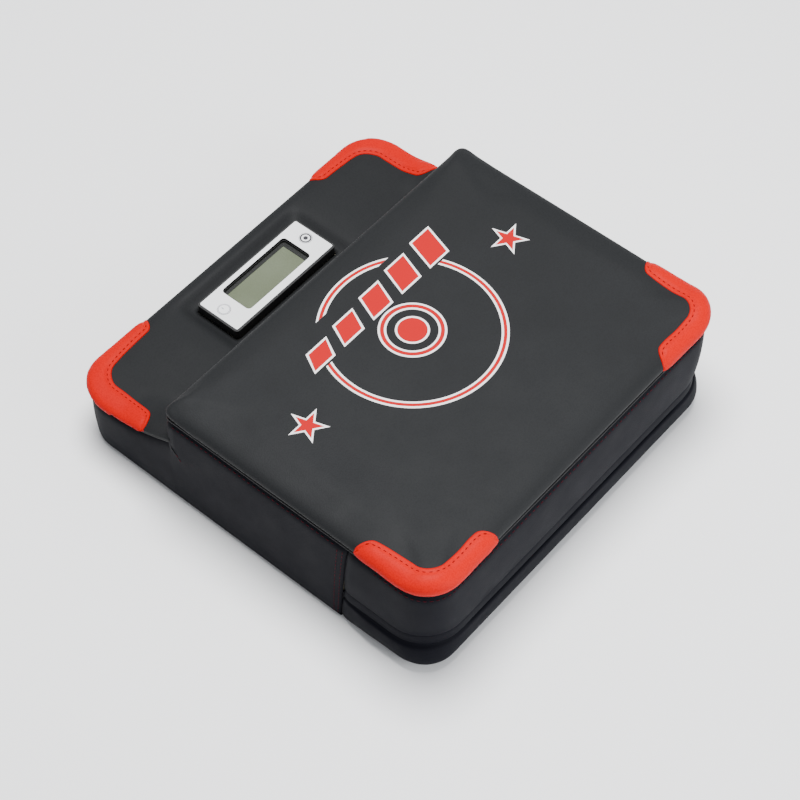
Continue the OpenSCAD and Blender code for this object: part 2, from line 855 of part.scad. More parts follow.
// Door with a hinge barrel along one long edge, pinned in the box's end walls
module battery_door() {
    inner_w = box_w - 2 * box_wall;
    far_y = bezel_y + box_d / 2 - box_wall - door_gap;
    pin_len = inner_w + 2 * box_wall - 0.6;
    color([0.11, 0.11, 0.12]) {
        difference() {
            translate([door_gap - inner_w / 2, hinge_y, door_z])
                cube([inner_w - 2 * door_gap, far_y - hinge_y, door_t]);
            translate([0, far_y, door_z - 1]) cylinder(h = door_t + 2, r = 5);
        }
        translate([door_gap - inner_w / 2, hinge_y, hinge_z]) rotate([0, 90, 0])
            cylinder(h = inner_w - 2 * door_gap, r = knuckle_r);
        translate([-pin_len / 2, hinge_y, hinge_z]) rotate([0, 90, 0])
            cylinder(h = pin_len, r = hinge_pin_r);
    }
}

// ---- striking pad ----

module foam_strike() {
    color([0.35, 0.36, 0.38]) pad_form(foam_in, strike_z);
}

module cover_pad_top() {
    low = piping_z + piping_r + panel_gap;
    color([0.24, 0.25, 0.26]) difference() {
        pad_form(skin_in, low);
        pad_form(skin_in + skin_t, low - 1);
    }
}

module pad_piping() {
    inset = piping_r;
    color([0.07, 0.07, 0.08]) cord_loop(pad_w - 2 * inset, front_y + inset, step_y - inset,
        front_r - inset, step_r - inset, piping_r, piping_z);
}

// Front corner patch on one side, laid over the pad's cover
module front_patch(side) {
    low = piping_z + piping_r + panel_gap;
    color([0.90, 0.20, 0.17]) intersection() {
        difference() {
            pad_form(0, low);
            pad_form(patch_t, low - 1);
        }
        translate([side * pad_w / 2, front_y, 0]) mirror([side > 0 ? 1 : 0, 0, 0])
            linear_extrude(pad_h + 1) patch_outline(65, 11.5, 63, 13, 14);
    }
}

module corner_patch_front_left() {
    front_patch(-1);
}

module corner_patch_front_right() {
    front_patch(1);
}

// Five-pointed star, grown by a margin
module star(grow) {
    reach = star_r + 2.6 * grow;
    inner = 0.382 * reach;
    polygon([for (i = [0 : 9]) (i % 2 == 0 ? reach : inner) * [sin(36 * i), cos(36 * i)]]);
}

// Row of leaning bars that grow taller, each grown by a margin
module level_bars(grow) {
    for (i = [0 : bar_count - 1]) {
        x = (i - (bar_count - 1) / 2) * bar_pitch - bar_w / 2;
        high = 12 + bar_rise * i;
        translate([x, bar_y]) polygon([
            [-grow * 1.3, -grow],
            [bar_w + grow * 0.8, -grow],
            [bar_w + bar_lean + grow * 1.3, high + grow],
            [bar_lean - grow * 0.8, high + grow]
        ]);
    }
}

// Flat ring of a given mean radius and width
module ring(r, w) {
    difference() {
        circle(r + w / 2);
        circle(r - w / 2);
    }
}

// The whole print, with every shape grown by a margin
module target_shapes(grow) {
    difference() {
        translate([0, print_y]) ring(ring_r, 2.2 + 2 * grow);
        translate([-pad_w / 2, bar_y - 2 * outline_w])
            square([pad_w, 12 + bar_rise * bar_count + 3 * outline_w]);
    }
    translate([0, print_y]) {
        ring(hub_r, 2.6 + 2 * grow);
        circle(hub_r / 2 + grow);
    }
    level_bars(grow);
    for (side = [-1, 1]) translate([side * star_x, star_y]) star(grow);
}

module target_print_white() {
    color("white") translate([0, 0, pad_h - skin_in]) linear_extrude(print_t) target_shapes(outline_w);
}

module target_print_red() {
    color([0.90, 0.27, 0.28]) translate([0, 0, pad_h - skin_in + print_t])
        linear_extrude(print_t) target_shapes(0);
}

cover_bottom();
base_board();
wall_inserts();
cell_frame();
load_cell_holders();
load_cells();
load_cell_feet();
load_cell_screws();
strike_plate();
foam_core();
cover_side_wrap();
cover_front_upper();
cover_front_lower();
zip_flap();
zip_tape_upper();
zip_tape_lower();
zip_teeth();
zip_stops();
zip_slider();
cover_riser();
foam_strip();
cover_strip_top();
strip_piping();
corner_patch_rear_left();
corner_patch_rear_right();
display_housing();
display_bezel();
display_lens();
lcd_panel();
lcd_frame();
zebra_strips();
circuit_board();
control_chip();
tact_switches();
board_screws();
button_power();
plunger_power();
button_mode();
plunger_mode();
sensor_harness();
battery_leads();
battery_box();
battery_box_screws();
batteries();
battery_contacts();
battery_door();
foam_strike();
cover_pad_top();
pad_piping();
corner_patch_front_left();
corner_patch_front_right();
target_print_white();
target_print_red();
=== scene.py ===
"""Looks of the punch force pad: covers, piping, stitching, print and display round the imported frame."""

import math
from contextlib import contextmanager

import bmesh
import bpy
import numpy as np
from mathutils import Matrix, Vector
from mathutils.bvhtree import BVHTree
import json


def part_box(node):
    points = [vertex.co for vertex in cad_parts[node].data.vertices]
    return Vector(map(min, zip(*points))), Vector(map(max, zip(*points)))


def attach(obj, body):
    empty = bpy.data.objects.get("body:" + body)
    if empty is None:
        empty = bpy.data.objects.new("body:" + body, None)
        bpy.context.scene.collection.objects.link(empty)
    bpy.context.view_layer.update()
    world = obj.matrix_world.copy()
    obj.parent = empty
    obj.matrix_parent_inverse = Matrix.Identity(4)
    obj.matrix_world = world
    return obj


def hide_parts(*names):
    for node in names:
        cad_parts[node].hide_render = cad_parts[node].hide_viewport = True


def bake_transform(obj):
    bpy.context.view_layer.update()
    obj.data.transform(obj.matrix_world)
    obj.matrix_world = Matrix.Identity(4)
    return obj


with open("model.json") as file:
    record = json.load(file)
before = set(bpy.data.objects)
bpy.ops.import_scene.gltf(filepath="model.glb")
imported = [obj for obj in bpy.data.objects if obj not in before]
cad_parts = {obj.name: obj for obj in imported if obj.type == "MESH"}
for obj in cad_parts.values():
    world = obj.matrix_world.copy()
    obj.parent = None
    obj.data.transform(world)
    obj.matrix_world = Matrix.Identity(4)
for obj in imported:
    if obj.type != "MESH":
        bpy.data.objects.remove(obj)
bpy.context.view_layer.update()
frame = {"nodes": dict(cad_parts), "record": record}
MM = 0.001
scene = bpy.context.scene

# ---- camera: from the front left, well above ----

CAMERA_AZIMUTH = math.radians(-50.05)
CAMERA_ELEVATION = math.radians(53.45)
CAMERA_ROLL = math.radians(0.3)
CAMERA_DISTANCE = 1.578
CAMERA_LENS = 102.3
CAMERA_AIM = Vector((8.7, 4.6, 0)) * MM


def add_object(name, data):
    obj = bpy.data.objects.new(name, data)
    scene.collection.objects.link(obj)
    return obj


def add_camera():
    ca, sa = math.cos(CAMERA_AZIMUTH), math.sin(CAMERA_AZIMUTH)
    ce, se = math.cos(CAMERA_ELEVATION), math.sin(CAMERA_ELEVATION)
    back = Vector((sa * ce, -ca * ce, se))
    right = Vector((ca, sa, 0))
    up = back.cross(right)
    r = right * math.cos(CAMERA_ROLL) + up * math.sin(CAMERA_ROLL)
    u = up * math.cos(CAMERA_ROLL) - right * math.sin(CAMERA_ROLL)
    data = bpy.data.cameras.new("camera")
    data.lens = CAMERA_LENS
    data.clip_start = 0.05
    cam = add_object("camera", data)
    turn = Matrix((r, u, back)).transposed().to_4x4()
    cam.matrix_world = Matrix.Translation(CAMERA_AIM + back * CAMERA_DISTANCE) @ turn
    scene.camera = cam


add_camera()

# ---- measures of the frame, in metres ----

PAD_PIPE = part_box("pad_piping")
STRIP_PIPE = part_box("strip_piping")
HALF_W = PAD_PIPE[1].x
FRONT_Y = PAD_PIPE[0].y
STEP_Y = PAD_PIPE[1].y
REAR_Y = STRIP_PIPE[1].y
PIPE_R = (PAD_PIPE[1].z - PAD_PIPE[0].z) / 2
PAD_PIPE_Z = PAD_PIPE[1].z - PIPE_R
STRIP_PIPE_Z = STRIP_PIPE[1].z - PIPE_R
PAD_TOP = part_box("cover_pad_top")[1].z
STRIP_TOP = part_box("cover_strip_top")[1].z
WALL_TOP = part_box("cover_front_upper")[1].z
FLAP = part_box("zip_flap")
SEAM_TOP_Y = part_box("cover_side_wrap")[0].y
SEAM_FOOT_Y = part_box("cover_front_lower")[1].y
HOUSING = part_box("display_housing")
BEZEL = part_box("display_bezel")
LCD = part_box("lcd_panel")
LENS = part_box("display_lens")
FRONT_R = 24 * MM
REAR_R = 25 * MM
STEP_R = 5 * MM
WALL_FOOT_Z = 1.8 * MM
SHEET_T = 1.0 * MM


def seam_y(z):
    """The seam between the front band and the side panel, which leans back towards the floor."""
    share = (z - WALL_FOOT_Z) / (WALL_TOP - WALL_FOOT_Z)
    return SEAM_FOOT_Y + (SEAM_TOP_Y - SEAM_FOOT_Y) * share


def smooth(t):
    """Soft step from 0 to 1."""
    t = np.clip(t, 0, 1)
    return t * t * (3 - 2 * t)


def plan_centre(lo, hi):
    """Middle of a box, seen from above."""
    return (lo[0] + hi[0]) / 2, (lo[1] + hi[1]) / 2


# ---- mesh helpers ----


@contextmanager
def editing(mesh):
    """The mesh's faces for editing; they are written back at the end."""
    bm = bmesh.new()
    bm.from_mesh(mesh)
    yield bm
    bm.to_mesh(mesh)
    bm.free()


def add_mesh(name, verts, faces):
    """Smooth-shaded object from points and faces."""
    mesh = bpy.data.meshes.new(name)
    mesh.from_pydata([tuple(v) for v in verts], [], faces)
    mesh.update()
    mesh.polygons.foreach_set("use_smooth", [True] * len(mesh.polygons))
    return add_object(name, mesh)


def add_grid(name, points, closed=False, skip=None, flip=False):
    """Sheet from rows of points; closed joins each row's ends, and skip(row, column) leaves cells out."""
    rows, cols = points.shape[:2]
    faces = []
    for i in range(rows - 1):
        for j in range(cols if closed else cols - 1):
            if skip and skip(i, j):
                continue
            k = (j + 1) % cols
            face = (i * cols + j, i * cols + k, (i + 1) * cols + k, (i + 1) * cols + j)
            faces.append(face[::-1] if flip else face)
    obj = add_mesh(name, points.reshape(-1, 3), faces)
    with editing(obj.data) as bm:
        bmesh.ops.delete(bm, geom=[v for v in bm.verts if not v.link_faces], context="VERTS")
    return obj


def thicken(obj, thickness=SHEET_T):
    """Smooths a sheet and gives it its thickness, inwards."""
    sub = obj.modifiers.new("smooth", "SUBSURF")
    sub.levels = sub.render_levels = 1
    sub.boundary_smooth = "PRESERVE_CORNERS"
    solid = obj.modifiers.new("thickness", "SOLIDIFY")
    solid.thickness, solid.offset = thickness, -1


def frames_along(path, closed):
    """Tangent and two normals at each point of a path, turned as little as possible from one to the next."""
    ahead = np.roll(path, -1, 0) - path
    behind = path - np.roll(path, 1, 0)
    if not closed:
        ahead[-1], behind[0] = behind[-1], ahead[0]
    tangent = ahead / np.linalg.norm(ahead, axis=1)[:, None]
    tangent += behind / np.linalg.norm(behind, axis=1)[:, None]
    tangent /= np.linalg.norm(tangent, axis=1)[:, None]
    side = np.cross(tangent[0], (0, 0, 1) if abs(tangent[0][2]) < 0.9 else (1, 0, 0))
    sides = []
    for t in tangent:
        side = side - t * (side @ t)
        side = side / np.linalg.norm(side)
        sides.append(side)
    sides = np.array(sides)
    return tangent, sides, np.cross(tangent, sides)


def add_tube(name, path, radius, closed=False, around=10):
    """Round cord along a path; radius is one number or one for each point."""
    path = np.array(path, float)
    _, a, b = frames_along(path, closed)
    radius = np.broadcast_to(radius, len(path))
    turn = np.linspace(0, 2 * math.pi, around, endpoint=False)
    ring = a[:, None] * np.cos(turn)[:, None] + b[:, None] * np.sin(turn)[:, None]
    points = path[:, None] + ring * radius[:, None, None]
    if closed:
        points = np.concatenate([points, points[:1]])
    obj = add_grid(name, points, closed=True)
    with editing(obj.data) as bm:
        if closed:
            bmesh.ops.remove_doubles(bm, verts=bm.verts, dist=1e-7)
        else:
            bmesh.ops.holes_fill(bm, edges=[e for e in bm.edges if e.is_boundary], sides=around)
        bmesh.ops.recalc_face_normals(bm, faces=bm.faces)
    return obj


def surface(obj):
    """Search tree over a sheet's outer side, without its thickness."""
    solids = [m for m in obj.modifiers if m.type == "SOLIDIFY"]
    for solid in solids:
        solid.show_viewport = False
    graph = bpy.context.evaluated_depsgraph_get()
    graph.update()
    tree = BVHTree.FromObject(obj, graph)
    for solid in solids:
        solid.show_viewport = True
    return tree


def nearest(tree, point):
    """Closest place on a surface, and its normal there."""
    where, normal, _, _ = tree.find_nearest(Vector(point))
    return np.array(where), np.array(normal)


def run_along(path):
    """Distance along a path at each of its points."""
    return np.concatenate([[0], np.cumsum(np.linalg.norm(np.diff(path, axis=0), axis=1))])


def resample(path, step):
    """Even points along a path."""
    path = np.array(path, float)
    run = run_along(path)
    at = np.linspace(0, run[-1], max(2, round(run[-1] / step) + 1))
    return np.stack([np.interp(at, run, path[:, i]) for i in range(path.shape[1])], 1)


STITCH_LEN = 3.0 * MM
STITCH_GAP = 1.1 * MM
STITCH_WIDTHS = (0.25, 0.85, 1.0, 0.85, 0.25)
STITCH_SIDES = 6
THREAD_R = 0.27 * MM
THREAD_DIVE = 1.4 * THREAD_R


def add_stitches(name, lines, tree, facing, lift=0.1 * MM):
    """Rows of thread stitches lying on a surface: each is a short cord whose ends dive into it."""
    turns = np.linspace(0, 2 * math.pi, STITCH_SIDES, endpoint=False)
    steps = np.linspace(-STITCH_LEN / 2, STITCH_LEN / 2, len(STITCH_WIDTHS))
    verts, faces = [], []
    for line in lines:
        points = resample(line, STITCH_LEN + STITCH_GAP)
        for a, b in zip(points[:-1], points[1:]):
            along = (b - a) / np.linalg.norm(b - a)
            mid, normal = nearest(tree, (a + b) / 2)
            if normal @ facing(mid) < 0:
                normal = -normal
            along = along - normal * (along @ normal)
            along /= np.linalg.norm(along)
            ring = np.outer(np.cos(turns), np.cross(normal, along)) + np.outer(np.sin(turns), normal)
            base = len(verts)
            for step, wide in zip(steps, STITCH_WIDTHS):
                middle = mid + along * step + normal * (lift - THREAD_DIVE * (1 - wide))
                verts.extend(middle + ring * THREAD_R * wide)
            top = len(verts) - STITCH_SIDES
            for at in range(base, top, STITCH_SIDES):
                for m in range(STITCH_SIDES):
                    n = (m + 1) % STITCH_SIDES
                    faces.append((at + m, at + n, at + STITCH_SIDES + n, at + STITCH_SIDES + m))
            faces.append(tuple(range(base + STITCH_SIDES - 1, base - 1, -1)))
            faces.append(tuple(range(top, len(verts))))
    obj = add_mesh(name, verts, faces)
    with editing(obj.data) as bm:
        bmesh.ops.recalc_face_normals(bm, faces=bm.faces)
    return obj


def fill_outline(name, loops, z_lo, z_hi, bevel=0.0):
    """Flat plate from closed outlines: the first is its edge and the others are its holes."""
    mesh = bpy.data.meshes.new(name)
    with editing(mesh) as bm:
        for loop in loops:
            ring = [bm.verts.new((p[0], p[1], z_hi)) for p in loop]
            for a, b in zip(ring, ring[1:] + ring[:1]):
                bm.edges.new((a, b))
        bmesh.ops.triangle_fill(bm, use_beauty=True, use_dissolve=False, edges=bm.edges)
        bm.normal_update()
        for face in bm.faces:
            if face.normal.z < 0:
                face.normal_flip()
        top, rim = list(bm.faces), [e for e in bm.edges if e.is_boundary]
        lower = {v: bm.verts.new((v.co.x, v.co.y, z_lo)) for v in list(bm.verts)}
        for face in top:
            bm.faces.new([lower[v] for v in reversed(face.verts)])
        for a, b in (edge.verts for edge in rim):
            bm.faces.new((a, b, lower[b], lower[a]))
        bmesh.ops.recalc_face_normals(bm, faces=bm.faces)
        bmesh.ops.dissolve_limit(bm, angle_limit=0.001, verts=bm.verts, edges=bm.edges)
    obj = add_object(name, mesh)
    if bevel:
        edge = obj.modifiers.new("edge", "BEVEL")
        edge.width, edge.segments, edge.limit_method = bevel, 3, "ANGLE"
        mesh.polygons.foreach_set("use_smooth", [True] * len(mesh.polygons))
        obj.modifiers.new("shade", "WEIGHTED_NORMAL").keep_sharp = True
    return obj


def round_rect(cx, cy, w, d, r, steps=8):
    """Outline of a rectangle w by d about a centre, with round corners."""
    points = []
    for k, (sx, sy) in enumerate(((1, 1), (-1, 1), (-1, -1), (1, -1))):
        for s in range(steps + 1):
            turn = math.pi / 2 * (k + s / steps)
            x = cx + sx * (w / 2 - r) + r * math.cos(turn)
            y = cy + sy * (d / 2 - r) + r * math.sin(turn)
            points.append((x, y))
    return points


def circle_points(cx, cy, r, steps=40):
    turns = [2 * math.pi * k / steps for k in range(steps)]
    return [(cx + r * math.cos(t), cy + r * math.sin(t)) for t in turns]


PRESSURE = 4.0
MOST_SWELL = 1.2 * MM
SWELL_FRAMES = 18


def inflate(obj, sewn):
    """Swells a sheet by cloth simulation; sewn vertices stay, and no point moves far."""
    rest = np.array([v.co for v in obj.data.vertices], float)
    group = obj.vertex_groups.new(name="sewn")
    group.add([int(i) for i in sewn], 1.0, "REPLACE")
    cloth = obj.modifiers.new("cloth", "CLOTH")
    settings = cloth.settings
    settings.quality = 5
    settings.mass = 0.4
    settings.tension_stiffness = settings.compression_stiffness = 40
    settings.shear_stiffness = 20
    settings.bending_stiffness = 8
    settings.vertex_group_mass = "sewn"
    settings.use_pressure = True
    settings.uniform_pressure_force = PRESSURE
    settings.effector_weights.gravity = 0
    for number in range(1, SWELL_FRAMES + 1):
        scene.frame_set(number)
    graph = bpy.context.evaluated_depsgraph_get()
    swollen = obj.evaluated_get(graph).to_mesh()
    moved = np.array([v.co for v in swollen.vertices], float) - rest
    obj.evaluated_get(graph).to_mesh_clear()
    obj.modifiers.remove(cloth)
    scene.frame_set(1)
    length = np.linalg.norm(moved, axis=1)
    keep = np.minimum(1, MOST_SWELL / np.maximum(length, 1e-9))
    obj.data.vertices.foreach_set("co", (rest + moved * keep[:, None]).ravel())
    obj.data.update()


# ---- materials ----


class Tree:
    """Small helper to lay out a material's nodes."""

    def __init__(self, name):
        self.material = bpy.data.materials.new(name)
        self.material.use_nodes = True
        self.nodes = self.material.node_tree.nodes
        self.links = self.material.node_tree.links
        self.shader = self.nodes["Principled BSDF"]
        self.coords = self.nodes.new("ShaderNodeTexCoord").outputs["Object"]

    def add(self, kind, **inputs):
        node = self.nodes.new(kind)
        for key, value in inputs.items():
            self.set(node, key.replace("_", " "), value)
        return node

    def set(self, node, key, value):
        if isinstance(value, bpy.types.NodeSocket):
            self.links.new(value, node.inputs[key])
        else:
            node.inputs[key].default_value = value

    def noise(self, scale, detail=3, stretch=None):
        coords = self.coords
        if stretch:
            mapping = self.add("ShaderNodeMapping", Vector=coords, Scale=stretch)
            coords = mapping.outputs["Vector"]
        node = self.add("ShaderNodeTexNoise", Vector=coords, Scale=scale, Detail=detail)
        return node.outputs["Fac"]

    def cells(self, scale):
        return self.add("ShaderNodeTexVoronoi", Vector=self.coords, Scale=scale).outputs["Distance"]

    def ramp(self, value, low, high, at_low=0.0, at_high=1.0):
        node = self.add("ShaderNodeMapRange", Value=value)
        for key, number in zip((1, 2, 3, 4), (low, high, at_low, at_high)):
            node.inputs[key].default_value = number
        return node.outputs["Result"]

    def mix(self, share, a, b):
        node = self.nodes.new("ShaderNodeMix")
        node.data_type = "RGBA"
        for key, value in ((0, share), (6, a), (7, b)):
            self.set(node, key, (*value, 1) if isinstance(value, tuple) else value)
        return node.outputs[2]

    def bump(self, height, strength, distance, normal=None):
        node = self.add("ShaderNodeBump", Height=height, Strength=strength, Distance=distance)
        if normal:
            self.links.new(normal, node.inputs["Normal"])
        return node.outputs["Normal"]

    def finish(self, color, rough, normal=None, **more):
        if normal:
            more["Normal"] = normal
        for key, value in (("Base_Color", color), ("Roughness", rough), *more.items()):
            self.set(self.shader, key.replace("_", " "), value)
        return self.material


def shade(color, share):
    """A darker version of a colour."""
    return tuple(c * share for c in color)


LEATHER_GRAIN = 0.2


def leather(name, light, dark, rough, specular):
    """Coated cloth: fine pebble grain, faint creases, and a cloudy change of tone and gloss."""
    t = Tree(name)
    cloud = t.ramp(t.noise(14, 4), 0.3, 0.7)
    pebble = t.ramp(t.cells(1050), 0.0, 0.75)
    fine = t.noise(3200, 2)
    crease = t.ramp(t.noise(90, 5, (1, 1.7, 1)), 0.42, 0.58)
    color = t.mix(cloud, dark, light)
    # painted shade: darker towards the edges of the grain's cells, the gaps between the pebbles
    pebble_gap_shade = t.mix(t.ramp(pebble, 0.5, 1.0, 0.0, 0.3), color, shade(dark, 0.6))
    first = t.bump(pebble, LEATHER_GRAIN, 0.00022)
    second = t.bump(fine, LEATHER_GRAIN / 2, 0.00008, first)
    third = t.bump(crease, 0.05, 0.0003, second)
    gloss = t.ramp(t.noise(45, 3), 0.3, 0.7, rough - 0.03, rough + 0.04)
    return t.finish(pebble_gap_shade, gloss, third, Specular_IOR_Level=specular)


def foam(name, color):
    """Open-cell foam: round pores in two sizes."""
    t = Tree(name)
    pores = t.ramp(t.cells(420), 0.1, 0.6)
    small = t.cells(1300)
    tint = t.mix(t.noise(20), shade(color, 0.82), color)
    # painted shade: darker in the middle of the large pores, the pits of the bump
    deep = t.mix(t.ramp(pores, 0.0, 0.4, 0.5, 0.0), tint, shade(color, 0.5))
    normal = t.bump(small, 0.4, 0.0004, t.bump(pores, 0.8, 0.001))
    return t.finish(deep, t.ramp(small, 0, 1, 0.85, 1.0), normal)


def plastic(name, color, rough=0.4, texture=900, strength=0.12, coat=0.0):
    """Moulded plastic: spark-eroded texture, faint flow marks and small differences in gloss."""
    t = Tree(name)
    flow = t.noise(30, 3, (1, 0.3, 1))
    tone = t.mix(flow, shade(color, 0.9), color)
    skin = t.noise(texture, 3)
    gloss = t.ramp(t.noise(120, 4), 0.35, 0.65, rough - 0.04, rough + 0.06)
    return t.finish(tone, gloss, t.bump(skin, strength, 0.00015), Coat_Weight=coat)


def metal(name, color, rough=0.3, brush=(1, 18, 1)):
    """Worked metal: fine lines one way, with cloudy gloss."""
    t = Tree(name)
    lines = t.noise(500, 4, brush)
    tone = t.mix(t.noise(60), shade(color, 0.85), color)
    gloss = t.ramp(lines, 0.3, 0.7, rough - 0.08, rough + 0.1)
    return t.finish(tone, gloss, t.bump(lines, 0.15, 0.0001), Metallic=1.0)


def plywood(name, color):
    """Birch plywood: grain along X on its faces, and thin layers of turned grain on its edges."""
    t = Tree(name)
    grain = t.noise(40, 6, (1, 12, 1))
    split = t.add("ShaderNodeSeparateXYZ", Vector=t.coords)
    layer = t.add("ShaderNodeMath")
    layer.operation = "PINGPONG"
    t.set(layer, 0, split.outputs["Z"])
    layer.inputs[1].default_value = 0.0015
    ply = t.ramp(layer.outputs["Value"], 0.0, 0.0015)
    face = t.mix(t.ramp(grain, 0.35, 0.65), shade(color, 0.7), color)
    tone = t.mix(t.ramp(ply, 0.4, 0.6, 0.0, 0.35), face, shade(color, 0.5))
    return t.finish(tone, t.ramp(grain, 0, 1, 0.5, 0.75), t.bump(grain, 0.3, 0.0003))


def woven(name, color, scale=900, specular=0.3, sheen=0.2):
    """Tape or thread: crossed yarns."""
    t = Tree(name)
    weave = t.add("ShaderNodeTexWave", Vector=t.coords, Scale=scale)
    other = t.add("ShaderNodeTexWave", Vector=t.coords, Scale=scale)
    other.bands_direction = "Z"
    height = t.mix(0.5, weave.outputs["Color"], other.outputs["Color"])
    tone = t.mix(t.noise(200), shade(color, 0.7), color)
    gloss = t.ramp(t.noise(400), 0, 1, 0.7, 0.95)
    normal = t.bump(height, 0.5, 0.0002)
    return t.finish(tone, gloss, normal, Sheen_Weight=sheen, Specular_IOR_Level=specular)


def ink(name, color, rough=0.42, specular=0.3):
    """Screen-printed ink: it follows the grain below and is a little thin in places."""
    t = Tree(name)
    pebble = t.ramp(t.cells(1050), 0.0, 0.75)
    thin = t.ramp(t.noise(700, 4), 0.28, 0.42)
    tone = t.mix(thin, shade(color, 0.96), color)
    gloss = t.ramp(t.noise(300), 0.3, 0.7, rough - 0.05, rough + 0.1)
    return t.finish(tone, gloss, t.bump(pebble, 0.16, 0.0002), Specular_IOR_Level=specular)


def display_glass(name):
    """Reflective display that is switched off: green grey, a little cloudy."""
    t = Tree(name)
    cloud = t.ramp(t.noise(35, 2), 0.35, 0.65)
    tone = t.mix(cloud, (0.15, 0.178, 0.108), (0.175, 0.205, 0.13))
    speck = t.noise(5000, 2)
    gloss = t.ramp(speck, 0.3, 0.7, 0.28, 0.36)
    return t.finish(tone, gloss, t.bump(speck, 0.05, 0.00005))


def clear(name):
    """Thin clear window: mostly see-through, with its own reflections and faint wipe marks."""
    t = Tree(name)
    smear = t.ramp(t.noise(60, 4, (1, 3, 1)), 0.4, 0.7, 0.03, 0.09)
    return t.finish((0.03, 0.035, 0.03, 1), smear, Alpha=0.1)


def circuit(name):
    """Solder-masked board: copper runs show faintly through the green."""
    t = Tree(name)
    runs = t.add("ShaderNodeTexBrick", Vector=t.coords, Scale=160)
    t.set(runs, "Color1", (0.015, 0.11, 0.035, 1))
    t.set(runs, "Color2", (0.02, 0.15, 0.05, 1))
    t.set(runs, "Mortar", (0.03, 0.2, 0.07, 1))
    gloss = t.ramp(t.noise(300), 0, 1, 0.25, 0.4)
    return t.finish(runs.outputs["Color"], gloss, t.bump(runs.outputs["Fac"], 0.3, 0.0001))


MATERIAL_TABLE = (
    (leather, "leathercloth_top", (0.0134, 0.0141, 0.0151), (0.0117, 0.0124, 0.0133), 0.62, 0.12),
    # leathercloth_side is the top's leathercloth painted darker and bluer: painted shade on the walls, which
    # face away from the key light
    (leather, "leathercloth_side", (0.0043, 0.0045, 0.0074), (0.004, 0.0042, 0.007), 0.6, 0.05),
    (leather, "leathercloth_dark", (0.009, 0.009, 0.0105), (0.006, 0.006, 0.007), 0.6, 0.14),
    (leather, "leathercloth_red", (0.52, 0.003, 0.001), (0.47, 0.002, 0.001), 0.46, 0.05),
    (leather, "piping_black", (0.003, 0.003, 0.004), (0.0015, 0.0015, 0.002), 0.45, 0.14),
    (plywood, "plywood", (0.55, 0.38, 0.21)),
    (metal, "brass", (0.78, 0.56, 0.24), 0.28),
    (foam, "foam_grey", (0.11, 0.11, 0.12)),
    (foam, "foam_cream", (0.72, 0.66, 0.5)),
    (plastic, "plastic_black", (0.002, 0.002, 0.0024), 0.5),
    (metal, "cell_steel", (0.6, 0.6, 0.62), 0.3),
    (plastic, "rubber_black", (0.02, 0.02, 0.02), 0.75, 1500, 0.25),
    (metal, "screw_steel", (0.62, 0.62, 0.64), 0.26),
    (woven, "zip_tape", (0.012, 0.012, 0.014)),
    (plastic, "zip_teeth", (0.012, 0.012, 0.013), 0.35),
    (metal, "slider_metal", (0.18, 0.18, 0.2), 0.3),
    (plastic, "bezel_white", (0.93, 0.94, 0.95), 0.3, 1200, 0.04, 0.3),
    (clear, "clear_lens"),
    (display_glass, "lcd_grey"),
    (plastic, "silicone_pink", (0.68, 0.28, 0.38), 0.6),
    (circuit, "circuit_green"),
    (plastic, "button_plastic", (0.93, 0.94, 0.95), 0.34, 1200, 0.04, 0.2),
    (plastic, "plunger_plastic", (0.6, 0.6, 0.56), 0.45),
    (plastic, "wire_red", (0.42, 0.02, 0.02), 0.45),
    (plastic, "wire_black", (0.015, 0.015, 0.015), 0.45),
    (plastic, "battery_wrap", (0.03, 0.04, 0.26), 0.2, 400, 0.03, 0.5),
    (metal, "contact_metal", (0.72, 0.72, 0.74), 0.18),
    (ink, "print_white", (0.86, 0.83, 0.83)),
    (ink, "print_red", (0.42, 0.006, 0.009), 0.5, 0.06),
)
MATERIALS = {name: make(name, *looks) for make, name, *looks in MATERIAL_TABLE}
THREAD_RED = woven("thread_red", (0.085, 0.002, 0.01), 2500, 0.1, 0.02)
THREAD_DARK = woven("thread_dark", (0.1, 0.001, 0.001), 2500, 0.1, 0.02)
MARK_DARK = ink("mark_dark", (0.03, 0.03, 0.035))
MARK_GREY = ink("mark_grey", (0.38, 0.38, 0.43))

SLOT_OF = {part["node"]: part["material_slot"] for part in frame["record"]["subparts"]}
for node_name, node in frame["nodes"].items():
    node.data.materials.clear()
    node.data.materials.append(MATERIALS[SLOT_OF[node_name]])


def dress(obj, slot_name, body=None, material=None):
    """Gives a piece its material, the slot's own unless another is given, and the body that it rides on."""
    obj.data.materials.append(material or MATERIALS[slot_name])
    if body:
        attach(obj, body)
    return obj


# ---- cushion sheets: a grid whose outer rings follow a rounded outline ----

RINGS = 12
REACH = 30 * MM
UNDER = 2
ROLL = 8


def roll_profile(wide, high, out, under, anchors=()):
    """Inset and height of each ring, from the sewn edge: out and up under the roll, over it, then level."""
    rows = []
    for k in range(UNDER + 1):
        turn = math.pi / 2 * k / UNDER
        rows.append((SEWN_IN - (SEWN_IN + out) * math.sin(turn), under * (1 - math.cos(turn))))
    for k in range(1, ROLL - UNDER + 1):
        turn = math.pi / 2 * k / (ROLL - UNDER)
        rows.append((-out + wide * (1 - math.cos(turn)), under + (high - under) * math.sin(turn)))
    stops = [rows[-1][0], *anchors, REACH]
    left = RINGS - ROLL
    flat = np.interp(np.linspace(0, 1, left + 1)[1:], np.linspace(0, 1, len(stops)), stops)
    rows += [(inset, high) for inset in flat]
    return np.array(rows)


